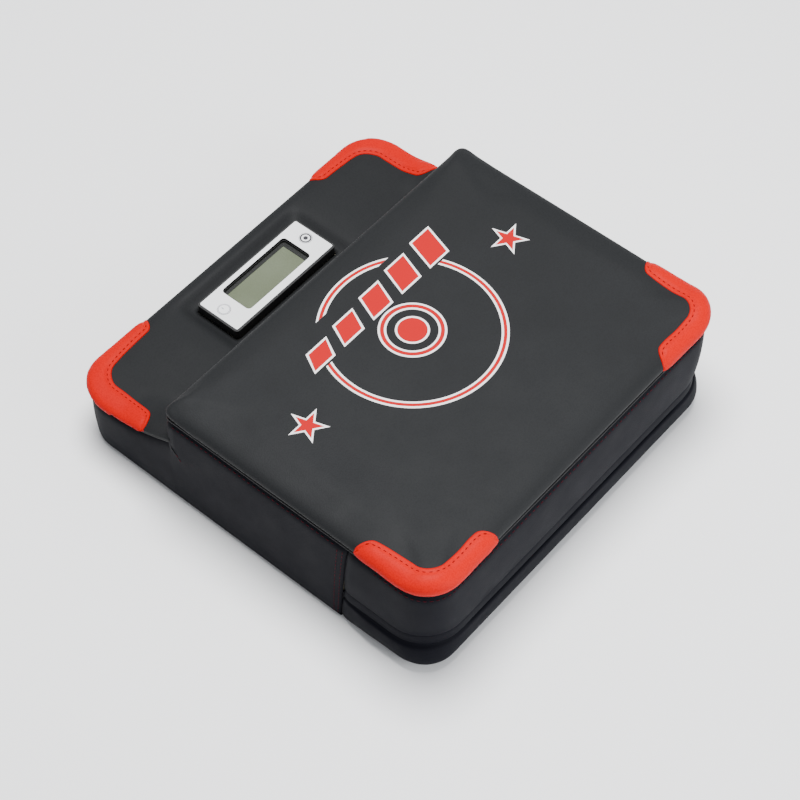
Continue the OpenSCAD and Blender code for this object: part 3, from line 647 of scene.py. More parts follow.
def corner_point(side_k, ring, in_x, in_y, rx, ry, on_x_side):
    """Place on one ring of a corner, side_k cells from its diagonal, as distances in from the two edges."""
    cells = RINGS - ring
    ax, by = in_x[ring], in_y[ring]
    share = side_k / cells if cells else 0
    arc = math.pi / 4 * (rx + ry) / 2
    straight = (REACH - by - ry) if on_x_side else (REACH - ax - rx)
    run = share * (arc + straight)
    past = max(0.0, run - arc)
    turn = math.pi / 4 * (1 - min(run, arc) / arc) if arc > 1e-9 else 0
    if on_x_side:
        return ax + rx * (1 - math.cos(turn)), by + ry * (1 - math.sin(turn)) + past
    return ax + rx * (1 - math.sin(turn)) + past, by + ry * (1 - math.cos(turn))


def cushion_plan(half_w, y_lo, y_hi, left, right, low, high, r_lo, r_hi, xs, ys, front=True):
    """Plan of a cushion sheet: X, Y, ring number and roll height of each grid point.

    left, right, low and high are the roll profiles of its sides. Without front, its front edge is plain."""
    nx, first = len(xs) + 2 * RINGS, RINGS if front else 0
    ny = len(ys) + RINGS + first
    x, y, z, ring = np.zeros((ny, nx)), np.zeros((ny, nx)), np.zeros((ny, nx)), np.zeros((ny, nx), int)
    for j in range(ny):
        for i in range(nx):
            ki = min(i, nx - 1 - i, RINGS)
            at_low = front and j < ny - 1 - j
            kj = min(j, RINGS) if at_low else min(ny - 1 - j, RINGS)
            across, along = (left if i < nx / 2 else right), (low if at_low else high)
            radius = r_lo if at_low else r_hi
            sx, sy = (-1 if i < nx / 2 else 1), (-1 if at_low else 1)
            k = min(ki, kj)
            ring[j, i] = k
            z[j, i] = across[k, 1] if ki < kj else along[k, 1]
            if ki < RINGS and kj < RINGS:
                fade = min(1, (RINGS - k) / (RINGS - UNDER - 1))
                rx = min((radius - across[k, 0]) * fade, REACH - across[k, 0])
                ry = min((radius - along[k, 0]) * fade, REACH - along[k, 0])
                dx, dy = corner_point(abs(ki - kj), k, across[:, 0], along[:, 0], rx, ry, ki < kj)
            else:
                dx = across[ki, 0] if ki < RINGS else None
                dy = along[kj, 0] if kj < RINGS else None
            x[j, i] = sx * (half_w - dx) if dx is not None else xs[i - RINGS]
            y[j, i] = (y_hi - dy if sy > 0 else y_lo + dy) if dy is not None else ys[j - first]
    return x, y, z, ring


# ---- the striking pad's cover ----

SEWN_IN = 2.8 * MM
PAD_HEM_Z = PAD_PIPE_Z + 0.9 * MM
PAD_RISE = PAD_TOP - PAD_HEM_Z
PAD_LEFT = roll_profile(17 * MM, PAD_RISE, 0.9 * MM, 4.5 * MM)
PAD_RIGHT = roll_profile(18 * MM, PAD_RISE, 3.2 * MM, 4.5 * MM)
PAD_FRONT = roll_profile(13 * MM, PAD_RISE, 0.9 * MM, 4.5 * MM)
PAD_STEP = roll_profile(9 * MM, PAD_RISE, 1.4 * MM, 4 * MM)


def cushion(obj, sewn, body, node):
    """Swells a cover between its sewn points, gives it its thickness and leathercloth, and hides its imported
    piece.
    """
    inflate(obj, sewn)
    thicken(obj)
    dress(obj, "leathercloth_top", body)
    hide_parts(node)
    return obj


def pad_cover():
    xs = np.linspace(-HALF_W + REACH, HALF_W - REACH, 49)
    ys = np.linspace(FRONT_Y + REACH, STEP_Y - REACH, 35)
    x, y, z, ring = cushion_plan(
        HALF_W, FRONT_Y, STEP_Y, PAD_LEFT, PAD_RIGHT, PAD_FRONT, PAD_STEP, FRONT_R, STEP_R, xs, ys
    )
    obj = add_grid("pad_cover", np.stack([x, y, PAD_HEM_Z + z], 2))
    return cushion(obj, np.flatnonzero(ring.ravel() == 0), "strike_pad", "cover_pad_top")


# ---- the strip's cover, with the soft recess that the display stands in ----

STRIP_HEM_Z = STRIP_PIPE_Z + 0.9 * MM
STRIP_RISE = STRIP_TOP - STRIP_HEM_Z
RECESS_HALF = 58 * MM
RECESS_DEPTH = 5.5 * MM
HOLE_FIT = 0.5 * MM
RISE_FROM_Y = STEP_Y + 45 * MM
RISE_RUN = 42 * MM
RISE = 14 * MM
FILLET = 6 * MM
FILLET_RUN = 20 * MM


def side_rise(y):
    """How far the strip's side edge climbs as it nears the step."""
    share = np.clip((RISE_FROM_Y - y) / RISE_RUN, 0, 1.15)
    return RISE * share**1.5


def strip_rise(x, y):
    """How far the strip's cover climbs towards the step: a small fillet, higher at both sides."""
    fillet = FILLET * np.clip((STEP_Y + FILLET_RUN - y) / FILLET_RUN, 0, 1) ** 2
    near_side = smooth((np.abs(x) - (HALF_W - 34 * MM)) / (30 * MM))
    return fillet + (side_rise(y) - fillet) * near_side


def strip_recess(x, y):
    """How far the strip's cover dips round the display."""
    across = smooth((RECESS_HALF + 4 * MM - np.abs(x)) / (9 * MM))
    behind = smooth((REAR_Y - 5 * MM - y) / (9 * MM))
    return RECESS_DEPTH * across * behind


HOLE_Y = (HOUSING[0].y - HOLE_FIT, HOUSING[1].y + HOLE_FIT)
STRIP_LEFT = roll_profile(13 * MM, STRIP_RISE, 1.6 * MM, 2.6 * MM)
STRIP_RIGHT = roll_profile(13 * MM, STRIP_RISE, 3.2 * MM, 2.6 * MM)
STRIP_REAR = roll_profile(10 * MM, STRIP_RISE, 3.4 * MM, 2.6 * MM, (REAR_Y - HOLE_Y[1],))


def strip_cover():
    hole_x = HOUSING[1].x + HOLE_FIT
    wing = np.linspace(HALF_W - REACH, hole_x, 17)
    xs = np.concatenate([-wing, np.linspace(-hole_x, hole_x, 27)[1:-1], wing[::-1]])
    front = STEP_Y + 0.2 * MM
    ys = np.concatenate([np.linspace(front, HOLE_Y[0], 9)[:-1], np.linspace(HOLE_Y[0], REAR_Y - REACH, 8)])
    x, y, z, ring = cushion_plan(
        HALF_W, front, REAR_Y, STRIP_LEFT, STRIP_RIGHT, STRIP_REAR, STRIP_REAR, 0, REAR_R, xs, ys, front=False
    )
    past = np.clip(np.abs(x) - (HALF_W - STEP_R), 0, STEP_R)
    foot = STEP_Y - STEP_R + np.sqrt(np.maximum(STEP_R**2 - past**2, 0)) + 0.2 * MM
    y = REAR_Y - (REAR_Y - y) * (REAR_Y - foot) / (REAR_Y - front)
    z = STRIP_HEM_Z + z + strip_rise(x, y) - strip_recess(x, y)
    in_hole = (np.abs(x) <= hole_x + 1e-6) & (y >= HOLE_Y[0] - 1e-6) & (y <= HOLE_Y[1] + 1e-6)

    def skip(i, j):
        return in_hole[i, j] and in_hole[i, j + 1] and in_hole[i + 1, j] and in_hole[i + 1, j + 1]

    edge = ring == 0
    edge[0] = True
    points = np.stack([x, y, z], 2)
    obj = add_grid("strip_cover", points, skip=skip)
    held = points[edge | in_hole]
    sewn = [v.index for v in obj.data.vertices if np.abs(held - np.array(v.co)).max(1).min() < 1e-6]
    return cushion(obj, sewn, "base", "cover_strip_top")


pad = pad_cover()
strip = strip_cover()

# ---- foam under the covers ----


def foam_inside(name, node, shrink, top_cut, body=None):
    """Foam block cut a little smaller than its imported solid."""
    mesh = frame["nodes"][node].data.copy()
    mesh.name = name
    obj = add_object(name, mesh)
    lo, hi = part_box(node)
    mid, half = (lo + hi) / 2, (hi - lo) / 2
    with editing(mesh) as bm:
        bmesh.ops.remove_doubles(bm, verts=bm.verts, dist=1e-6)
        for v in bm.verts:
            v.co.x = mid.x + (v.co.x - mid.x) * (1 - shrink / half.x)
            v.co.y = mid.y + (v.co.y - mid.y) * (1 - shrink / half.y)
            v.co.z = lo.z + (v.co.z - lo.z) * (1 - top_cut / (hi.z - lo.z))
        bmesh.ops.dissolve_limit(bm, angle_limit=0.01, verts=bm.verts, edges=bm.edges)
    mesh.materials.clear()
    dress(obj, SLOT_OF[node], body)
    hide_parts(node)
    return obj


foam_inside("strike_foam", "foam_strike", 5 * MM, 2.5 * MM, "strike_pad")
foam_inside("strip_foam", "foam_strip", 4 * MM, 3 * MM, "base")
core_foam = foam_inside("core_foam", "foam_core", 1.5 * MM, 0.2 * MM)
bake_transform(core_foam)

# ---- walls ----


def outline_path(corners, radii, step, turn):
    """Points and outward normals along a path with round corners. turn is 1 where outward is to the left."""
    points, normals = [], []
    radii = [*np.broadcast_to(radii, len(corners) - 2), 0]
    corners = [np.array(c, float) for c in corners]
    last = corners[0]
    for k in range(1, len(corners)):
        start, end = corners[k - 1], corners[k]
        along = (end - start) / np.linalg.norm(end - start)
        out = turn * np.array((-along[1], along[0]))
        inner, radius = k < len(corners) - 1, radii[k - 1]
        stop = end - along * radius if inner else end
        count = max(1, round(np.linalg.norm(stop - last) / step))
        for s in range(count + (0 if inner else 1)):
            points.append(last + (stop - last) * s / count)
            normals.append(out)
        if inner:
            after = corners[k + 1] - end
            after /= np.linalg.norm(after)
            centre = stop - out * radius
            sweep = max(4, round(radius * math.pi / 2 / (step * 0.5)))
            for s in range(sweep):
                angle = math.pi / 2 * s / sweep
                normal = out * math.cos(angle) + along * math.sin(angle)
                points.append(centre + normal * radius)
                normals.append(normal)
            last = end + after * radius
    return np.array(points), np.array(normals)


WALL_STEP = 4.5 * MM
SHIFT_REACH = 35 * MM


def u_path(open_y, far_y, radius, step=WALL_STEP):
    """Path from the left side's open end, round the far edge and back along the right side."""
    corners = [(-HALF_W, open_y), (-HALF_W, far_y), (HALF_W, far_y), (HALF_W, open_y)]
    return outline_path(corners, radius, step, 1 if far_y > open_y else -1)


def on_sides(points):
    """Which points of a path lie on the two straight sides."""
    return np.abs(np.abs(points[:, 0]) - HALF_W) < 1e-6


def seam_shift(points, z):
    """Slides the ends of a row of wall points along Y, so that they lie on the leaning seam."""
    moved = points.copy()
    away = np.abs(points[:, 1] - SEAM_FOOT_Y)
    share = np.where(on_sides(points), np.clip(1 - away / SHIFT_REACH, 0, 1), 0)
    moved[:, 1] += (seam_y(z) - SEAM_FOOT_Y) * share
    return moved


def wall(name, points, normals, profile, flip, seam=True):
    """Upright sheet along a path. profile(k) gives each column's rows as (inset, height) pairs."""
    columns = np.array([profile(k) for k in range(len(points))])
    rows = []
    for inset, z in columns.transpose(1, 2, 0):
        base = seam_shift(points, z[0]) if seam else points
        rows.append(np.column_stack([base - normals * inset[:, None], z]))
    return add_grid(name, np.array(rows), flip=flip)


def rounded_foot(radius, steps):
    """Rows of a wall's foot, which curls in underneath."""
    turns = [math.pi / 2 * k / steps for k in range(steps)]
    return [(WALL_IN + radius * (1 - math.sin(t)), FOOT_Z + radius * (1 - math.cos(t))) for t in turns]


def near_ends(points, reach):
    """1 at a path's two ends, falling to 0 at the given distance from them."""
    run = run_along(points)
    from_end = np.minimum(run, run[-1] - run)
    return np.clip(1 - from_end / reach, 0, 1)


def near_edge(distance, reach):
    """1 at an edge, falling softly to 0 at the given distance from it."""
    return max(0, 1 - distance / reach) ** 2


def belly(share):
    """A wall's swelling between its two edges: 0 at both and 1 halfway."""
    return math.sin(math.pi * min(share, 1))


def top_tuck(z):
    """How far a wall goes in under the pad's roll near its upper edge."""
    return TOP_TUCK * near_edge(WALL_TOP - z, TOP_TUCK_REACH)


def edge_spread(low, high, count):
    """Heights between two levels, closer together near the top edge."""
    base = np.linspace(0, 1, count + 1)
    return low + (high - low) * (1 - (1 - base) ** 1.35)


WALL_IN = -0.4 * MM
FOOT_Z = 0.2 * MM
SIDE_FOOT_R = 4 * MM
FRONT_FOOT_R = 8 * MM
SWELL_SIDE = 3.0 * MM
SWELL_FRONT = 1.5 * MM
WALL_SWELL = 1.4 * MM
RISER_SWELL = 0.6 * MM
TOP_TUCK = 3.4 * MM
TOP_TUCK_REACH = 6 * MM
LOW_CORNER_R = 31 * MM


def corner_insets(points, normals):
    """How far in each column moves for the larger radius that the front corners have low down."""
    insets = []
    for point, normal in zip(points, normals):
        centre = np.array((np.sign(point[0]) * (HALF_W - LOW_CORNER_R), FRONT_Y + LOW_CORNER_R))
        away = point - centre
        along = away @ normal
        inset = along - math.sqrt(max(along**2 - away @ away + LOW_CORNER_R**2, 0))
        moved = point - inset * normal
        beyond = (moved[0] - centre[0]) * np.sign(point[0]) > 0 and moved[1] < centre[1]
        insets.append(max(inset, 0) if beyond else 0)
    return insets


def side_wall():
    """One long panel round both sides and the rear; its top edge steps down beside the strip."""
    points, normals = u_path(SEAM_FOOT_Y + 0.2 * MM, REAR_Y, REAR_R)
    ends = 1.6 * MM * near_ends(points, 1.8 * MM)
    step_top = STEP_Y - STEP_R
    tall = list(np.flatnonzero(on_sides(points) & (points[:, 1] <= step_top)))
    left = [k for k in tall if points[k][0] < 0]
    right = [k for k in tall if points[k][0] > 0]
    points[left[-1]][1] = points[right[0]][1] = step_top

    def lower(k):
        top = STRIP_PIPE_Z - 1.0 * MM + float(side_rise(max(points[k][1], step_top + 2 * MM)))
        rows = rounded_foot(SIDE_FOOT_R, 5)
        tuck, stretch = (0, 1) if k in tall else (2.6 * MM, 1.6)
        for z in edge_spread(rows[-1][1] + 1 * MM, top, 9):
            swell = WALL_SWELL * belly(z / WALL_TOP * stretch)
            rows.append((WALL_IN - swell + tuck * near_edge(top - z, 4 * MM) + ends[k], z))
        return rows

    def upper(k):
        heights = edge_spread(lower(k)[-1][1], WALL_TOP, 9)
        return [(WALL_IN - WALL_SWELL * belly(z / WALL_TOP) + top_tuck(z) + ends[k], z) for z in heights]

    parts = [wall("side_wall", points, normals, lower, flip=True)]
    for keys in (left, right):
        rows = [upper(k) for k in keys]
        parts.append(wall("upper", points[keys], normals[keys], rows.__getitem__, flip=True))
    return panel(merge(parts), "cover_side_wrap")


def merge(parts):
    """Joins sheets into the first one and welds the edges that they share."""
    with editing(parts[0].data) as bm:
        for part in parts[1:]:
            bm.from_mesh(part.data)
        bmesh.ops.remove_doubles(bm, verts=bm.verts, dist=0.05 * MM)
    for part in parts[1:]:
        bpy.data.objects.remove(part)
    return parts[0]


def panel(obj, node, body=None):
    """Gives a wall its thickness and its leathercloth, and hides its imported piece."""
    thicken(obj)
    dress(obj, "leathercloth_side", body)
    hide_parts(node)
    return obj


def follow_pad(obj):
    """Bakes the sheet's placement into its mesh."""
    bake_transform(obj)


side = side_wall()
FRONT_POINTS, FRONT_NORMALS = u_path(SEAM_FOOT_Y - 0.1 * MM, FRONT_Y, FRONT_R)
FRONT_TURNED = corner_insets(FRONT_POINTS, FRONT_NORMALS)
FRONT_ENDS = 1.5 * MM * near_ends(FRONT_POINTS, 2 * MM)
FLAP_LIP_Z = FLAP[0].z + 5.8 * MM
FLAP_TOP_Z = FLAP[1].z + 0.5 * MM
GROOVE_Z = FLAP[0].z + 4.7 * MM
ZIP_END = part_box("zip_tape_lower")[1].x
PAST_ZIP = np.abs(FRONT_POINTS[:, 0]) > ZIP_END


def front_band(name, profile, node, body=None):
    """One of the sheets round the front, from the rows that profile(k) gives for each column."""

    def rows(k):
        return [(inset + FRONT_ENDS[k], z) for inset, z in profile(k)]

    return panel(wall(name, FRONT_POINTS, FRONT_NORMALS, rows, flip=False), node, body)


GROOVE_LIP = 1.9 * MM
GROOVE_LIP_REACH = 1.3 * MM
LOWER_SHARES = (*np.linspace(0.2, 0.9, 8), 0.96, 1)
LOWER_TURN_IN = 1 - near_ends(FRONT_POINTS, 46 * MM)
LOWER_FULL = 0.2 + 0.8 * smooth(1 - near_ends(FRONT_POINTS, 26 * MM))


def lower_rows(k):
    """The lower band: a foot that gets rounder away from the seams, a swell, and an edge in the groove."""
    rows = rounded_foot(SIDE_FOOT_R + (FRONT_FOOT_R - SIDE_FOOT_R) * float(smooth(LOWER_TURN_IN[k])), 7)
    foot_top = rows[-1][1]
    sideways = abs(FRONT_NORMALS[k][0])
    full = (SWELL_SIDE * sideways + SWELL_FRONT * (1 - sideways)) * LOWER_FULL[k]
    for share in LOWER_SHARES:
        z = foot_top + (GROOVE_Z - foot_top) * share
        lip = GROOVE_LIP * near_edge(GROOVE_Z - z, GROOVE_LIP_REACH)
        rows.append((WALL_IN - full * belly(0.2 + 0.55 * share) + lip + FRONT_TURNED[k] * share**2, z))
    # past the zip the flap is sewn down, and the panel goes on up behind it
    inset, rise = (1.5 * MM, 3.4 * MM) if PAST_ZIP[k] else (3.4 * MM, 0.3 * MM)
    return [*rows, (WALL_IN + inset + FRONT_TURNED[k], GROOVE_Z + rise)]


SEWN_HEM = 0.8 * MM
LOOSE_HEM = 2.6 * MM
HEM_UP = 0.6 * MM


def flap_rows(k):
    """The flap over the zip, from its hem to where it is sewn in."""
    inset = WALL_IN + FRONT_TURNED[k]
    rows = [(inset + (SEWN_HEM if PAST_ZIP[k] else LOOSE_HEM), FLAP_LIP_Z + HEM_UP)]
    rows.append((inset + 0.4 * MM, FLAP_LIP_Z - 0.1 * MM))
    for share in np.linspace(0, 1, 7)[1:]:
        flare = 0.3 * MM * (1 - share) - 0.6 * MM * math.exp(-(((share - 1) / 0.15) ** 2))
        rows.append((inset - flare, FLAP_LIP_Z + (FLAP_TOP_Z - FLAP_LIP_Z) * share))
    return rows


def upper_rows(k):
    """The upper band: a small fold over the flap's seam, a swell, and an edge tucked under the pad's roll."""
    rows = [(WALL_IN + 1.2 * MM + FRONT_TURNED[k], FLAP_TOP_Z - 1.0 * MM)]
    low = FLAP_TOP_Z - 0.6 * MM
    for part in np.linspace(0, 1, 15):
        share = 1 - (1 - part) ** 1.25
        z = low + (WALL_TOP - low) * share
        fold = 0.5 * MM * math.exp(-(((z - FLAP_TOP_Z - 1.2 * MM) / (1.3 * MM)) ** 2))
        out = WALL_SWELL * belly(share**0.8) + fold - 0.2 * MM
        rows.append((WALL_IN - out + top_tuck(z) + FRONT_TURNED[k] * (1 - share) ** 1.5, z))
    return rows


def riser():
    """Panel that drops from the pad to the strip, with short returns at both sides."""
    points, normals = u_path(STEP_Y - STEP_R, STEP_Y, STEP_R)
    heights = edge_spread(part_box("cover_riser")[0].z, WALL_TOP, 12)
    rows = [(WALL_IN - RISER_SWELL * belly(z / WALL_TOP) + top_tuck(z), z) for z in heights]
    return panel(wall("riser", points, normals, lambda k: rows, flip=True, seam=False), "cover_riser")


lower_band = front_band("front_lower", lower_rows, "cover_front_lower", "base")
flap = front_band("front_flap", flap_rows, "zip_flap", "base")
upper_band = front_band("front_upper", upper_rows, "cover_front_upper")
step_wall = riser()

# ---- piping; the strip's is level at the rear and climbs to the step at both sides ----

CORD_STEP = 3 * MM


def strip_cord():
    start = STEP_Y - STEP_R
    points, normals = u_path(start, REAR_Y, REAR_R, CORD_STEP)
    flat = points - normals * PIPE_R
    z = STRIP_PIPE_Z + side_rise(np.maximum(points[:, 1], start + 2 * MM))
    obj = add_tube("strip_cord", np.column_stack([flat, z]), PIPE_R)
    dress(obj, "piping_black", "base")
    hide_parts("strip_piping")


def pad_cord():
    """Piping round the pad: one closed loop, whose ends would meet at the middle of the front."""
    corners = [
        (0, FRONT_Y), (-HALF_W, FRONT_Y), (-HALF_W, STEP_Y), (HALF_W, STEP_Y), (HALF_W, FRONT_Y), (0, FRONT_Y)
    ]
    points, normals = outline_path(corners, (FRONT_R, STEP_R, STEP_R, FRONT_R), CORD_STEP, 1)
    flat = (points - normals * PIPE_R)[:-1]
    obj = add_tube("pad_cord", np.column_stack([flat, np.full(len(flat), PAD_PIPE_Z)]), PIPE_R, closed=True)
    dress(obj, "piping_black", "strike_pad")
    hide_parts("pad_piping")


strip_cord()
pad_cord()

# ---- red corner patches ----


def along_profile(profile):
    """Functions of a roll profile: from the length along it to inset and height, and from inset to length."""
    run = run_along(profile)
    upper = np.arange(UNDER, len(profile))
    return (
        lambda c: (np.interp(c, run, profile[:, 0]), np.interp(c, run, profile[:, 1])),
        lambda inset: np.interp(inset, profile[upper, 0], run[upper]),
    )


def round_corner(sx, sy, y_edge, radius, side_len, run):
    """Plan place and outward normal at each distance along an outline that turns one corner."""
    arc = radius * math.pi / 2
    cx, cy = sx * (HALF_W - radius), y_edge - sy * radius
    base, normal = [], []
    for s in run:
        turn = min(max((s - side_len) / radius, 0), math.pi / 2)
        n = np.array((sx * math.cos(turn), sy * math.sin(turn)))
        place = np.array((cx, cy)) + radius * n
        place[1] -= sy * max(side_len - s, 0)
        place[0] -= sx * max(s - side_len - arc, 0)
        base.append(place)
        normal.append(n)
    return np.array(base), np.array(normal)


PATCH_LIP = 1.1 * MM
PATCH_STEP = 1.3 * MM
PATCH_TIP = 10 * MM
PATCH_PUFF = 1.2 * MM
PATCH_T = 0.7 * MM
GROOVE_IN = 3.1 * MM
GROOVE_DEPTH = 0.8 * MM


def patch(name, sx, sy, tree, hem_z, rise, side_roll, end_roll, arms, widths, radius, body, node):
    """Puffed patch over one corner. widths are (share, mm) pairs along it, from the side arm's tip."""
    y_edge = FRONT_Y if sy < 0 else REAR_Y
    side_len = arms[0] - radius
    total = side_len + radius * math.pi / 2 + arms[1] - radius
    run = np.linspace(0, total, round(total / PATCH_STEP) + 1)
    width = np.interp(run / total, *np.array(widths).T) * MM
    width = np.convolve(np.pad(width, 6, mode="edge"), np.ones(13) / 13, "valid")
    base, normal = round_corner(sx, sy, y_edge, radius, side_len, run)
    share = smooth((run - side_len) / (radius * math.pi / 2))
    ways = [along_profile(side_roll * (1 - t) + end_roll * t) for t in share]
    length = np.array([way[1](w) for way, w in zip(ways, width)])
    for from_end in (run, total - run):
        near = np.clip(from_end / PATCH_TIP, 0, 1)
        length = length * np.sqrt(np.maximum(1 - (1 - near) ** 2, 0.0005))
    rows = []
    for v in np.linspace(0, 1, 17):
        row = []
        for k, place in enumerate(base):
            c = length[k] * v
            inset, up = ways[k][0](c)
            flat = place - normal[k] * inset
            start = np.array((flat[0], flat[1], hem_z + rise(*flat) + up))
            here, out = nearest(tree, start)
            if out @ np.array((*normal[k], 1.0)) < 0:
                out = -out
            gap = np.hypot(run - run[k], length - c).min()
            lip = PATCH_LIP * math.sqrt(max(1 - (1 - min(gap / PATCH_STEP, 1)) ** 2, 0))
            groove = GROOVE_DEPTH * math.exp(-(((gap - GROOVE_IN) / (0.6 * MM)) ** 2))
            puff = PATCH_PUFF * (1 - math.exp(-max(gap - GROOVE_IN, 0) / (3 * MM)))
            thick = (lip - groove + puff) * (0.2 + 0.8 * min(1, c / (4 * MM)))
            row.append(here + out * (thick + 0.06 * MM))
        rows.append(row)
    obj = add_grid(name, np.array(rows))
    with editing(obj.data) as bm:
        bmesh.ops.remove_doubles(bm, verts=bm.verts, dist=0.03 * MM)
        bmesh.ops.recalc_face_normals(bm, faces=bm.faces)
        if sum(f.normal.z for f in bm.faces) < 0:
            bmesh.ops.reverse_faces(bm, faces=bm.faces)
    thicken(obj, PATCH_T)
    dress(obj, "leathercloth_red", body)
    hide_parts(node)
    line = []
    for k, place in enumerate(base):
        if min(run[k], total - run[k]) > 4.5 * MM and length[k] > 2 * GROOVE_IN:
            inset, up = ways[k][0](length[k] - GROOVE_IN)
            flat = place - normal[k] * inset
            line.append((flat[0], flat[1], hem_z + rise(*flat) + up))
    upwards = np.array((0.1 * sx, 0.1 * sy, 1))
    stitches = add_stitches(name + "_stitches", [line], surface(obj), lambda p: upwards, 0.05 * MM)
    dress(stitches, "leathercloth_red", body, THREAD_DARK)


FRONT_WIDTHS = ((0, 9), (0.1, 11.5), (0.28, 13), (0.5, 12.3), (0.75, 10), (0.9, 11.5), (1, 8.5))
FRONT_ARMS = (63 * MM, 65 * MM)
REAR_SIDE_ARM = 65 * MM
REAR_LEFT_ARM = 71 * MM
REAR_RIGHT_ARM = 64 * MM
REAR_WIDTHS = ((0, 11), (0.12, 14), (0.3, 15), (0.5, 13.7), (0.68, 9), (0.85, 7.5), (1, 7))


def corner_patches():
    pad_tree, strip_tree = surface(pad), surface(strip)

    def level(x, y):
        return 0

    def climb(x, y):
        return float(strip_rise(x, y) - strip_recess(x, y))

    for label, sx, pad_side, strip_side, rear_arm in (
        ("left", -1, PAD_LEFT, STRIP_LEFT, REAR_LEFT_ARM),
        ("right", 1, PAD_RIGHT, STRIP_RIGHT, REAR_RIGHT_ARM),
    ):
        patch(
            "patch_front_" + label, sx, -1, pad_tree, PAD_HEM_Z, level, pad_side, PAD_FRONT,
            FRONT_ARMS, FRONT_WIDTHS, FRONT_R, "strike_pad", "corner_patch_front_" + label,
        )
        patch(
            "patch_rear_" + label, sx, 1, strip_tree, STRIP_HEM_Z, climb, strip_side, STRIP_REAR,
            (REAR_SIDE_ARM, rear_arm), REAR_WIDTHS, REAR_R, "base", "corner_patch_rear_" + label,
        )


corner_patches()

# ---- thread along the seams ----


DART_RUN = 7.5 * MM
DART_DROP = 8 * MM
DART_BOW = 1.5 * MM
DART_R = 0.65 * MM
SEAM_ROWS = (3.4 * MM, 7.4 * MM)


def darts(tree):
    """Short curved seams that take up the side panels' slack just below the step, and their stitch lines."""
    run = np.linspace(0, 1, 12)
    folds, lines = [], []
    for sx, label in ((-1, "left"), (1, "right")):
        y = STEP_Y - STEP_R - DART_RUN * run
        top = STRIP_PIPE_Z + float(side_rise(STEP_Y)) - 1 * MM
        z = top - DART_DROP * run**0.8 + DART_BOW * np.sin(math.pi * run)
        path = [nearest(tree, (sx * HALF_W, a, b))[0] for a, b in zip(y, z)]
        taper = DART_R * np.sqrt(np.clip(1.02 - run, 0.05, 1))
        folds.append(dress(add_tube("dart_" + label, path, taper, around=8), "piping_black", "base"))
        lines.append([(p[0], p[1] - 1.6 * MM, p[2] - 1.0 * MM) for p in path])
    return folds, lines


def seam_lines():
    """Double rows beside the two upright seams, and one row below the pad's piping on the side panels."""
    lines = []
    for sx in (-1, 1):
        for off in SEAM_ROWS:
            heights = np.linspace(3 * MM, WALL_TOP - 5 * MM, 30)
            pull = 0.72 + 0.28 * heights / WALL_TOP
            lines.append([(sx * HALF_W, seam_y(z) + off * p, z) for z, p in zip(heights, pull)])
        ys = np.linspace(SEAM_TOP_Y + 10 * MM, STEP_Y - STEP_R - 1 * MM, 40)
        lines.append([(sx * HALF_W, y, WALL_TOP - 3.6 * MM) for y in ys])
    return lines


def side_stitches():
    """The stitches on the side panel, after the two darts that some of them run along."""
    tree = surface(side)
    rows = seam_lines()
    folds, dart_rows = darts(tree)
    thread = add_stitches("side_stitches", rows + dart_rows, tree, lambda p: np.array((np.sign(p[0]), 0, 0)))
    return [dress(thread, "leathercloth_side", None, THREAD_RED), *folds]


def front_stitches():
    """One row just below the pad's piping, round the front band."""
    inner = (FRONT_POINTS - FRONT_NORMALS * WALL_IN)[6:-6]
    line = np.column_stack([inner, np.full(len(inner), WALL_TOP - 4.2 * MM)])
    tree = surface(upper_band)
    obj = add_stitches("front_stitches", [line], tree, lambda p: np.array((p[0], p[1] * 1.6, 0)))
    return dress(obj, "leathercloth_side", None, THREAD_RED)


side_thread, *darts_made = side_stitches()
front_thread = front_stitches()

# ---- the side panel's run length, and the walls' placements baked into their meshes ----

SIDE_RUN = float(run_along(u_path(SEAM_FOOT_Y, REAR_Y, REAR_R)[0])[-1])

for piece in (side, step_wall, side_thread):
    follow_pad(piece)
for piece in (upper_band, front_thread):
    follow_pad(piece)

# ---- print on the pad's face ----


LONGEST_EDGE = 5 * MM
INK_T = 0.12 * MM


def on_pad(obj, tree, lift):
    """Lays a flat shape on the pad's face."""
    with editing(obj.data) as bm:
        for _ in range(2):
            long_edges = [e for e in bm.edges if e.calc_length() > LONGEST_EDGE]
            bmesh.ops.subdivide_edges(bm, edges=long_edges, cuts=1, use_grid_fill=False)
        bmesh.ops.triangulate(bm, faces=bm.faces)
        for v in bm.verts:
            hit = tree.ray_cast(Vector((v.co.x, v.co.y, 1)), Vector((0, 0, -1)))[0]
            v.co.z = hit.z + lift
    obj.data.polygons.foreach_set("use_smooth", [False] * len(obj.data.polygons))


def cad_print(name, node, tree, lift):
    """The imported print's own shapes, laid on the crowned cover."""
    mesh = frame["nodes"][node].data.copy()
    mesh.name = name
    mesh.materials.clear()
    top = max(v.co.z for v in mesh.vertices)
    with editing(mesh) as bm:
        bmesh.ops.delete(bm, geom=[v for v in bm.verts if v.co.z < top - 1e-5], context="VERTS")
    obj = add_object(name, mesh)
    on_pad(obj, tree, lift)
    solid = obj.modifiers.new("thickness", "SOLIDIFY")
    solid.thickness, solid.offset = INK_T, -1
    dress(obj, SLOT_OF[node], "strike_pad")
    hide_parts(node)


face = surface(pad)
cad_print("print_white", "target_print_white", face, 0.16 * MM)
cad_print("print_red", "target_print_red", face, 0.26 * MM)

# ---- display and buttons ----

FACE_T = 0.9 * MM
BEZEL_R = 1.2 * MM
WINDOW_R = 3 * MM
BUTTON_R = 4.5 * MM
MASK_NEAR = 1.2 * MM
MASK_RIGHT = 4.2 * MM
MASK_REAR = 3.4 * MM


def grown(centre, size, more_w, more_d=None, r=WINDOW_R):
    """Outline of a rectangle that is larger than the given size by so much in width and depth."""
    more_d = more_w if more_d is None else more_d
    return round_rect(*centre, size[0] + more_w, size[1] + more_d, r)


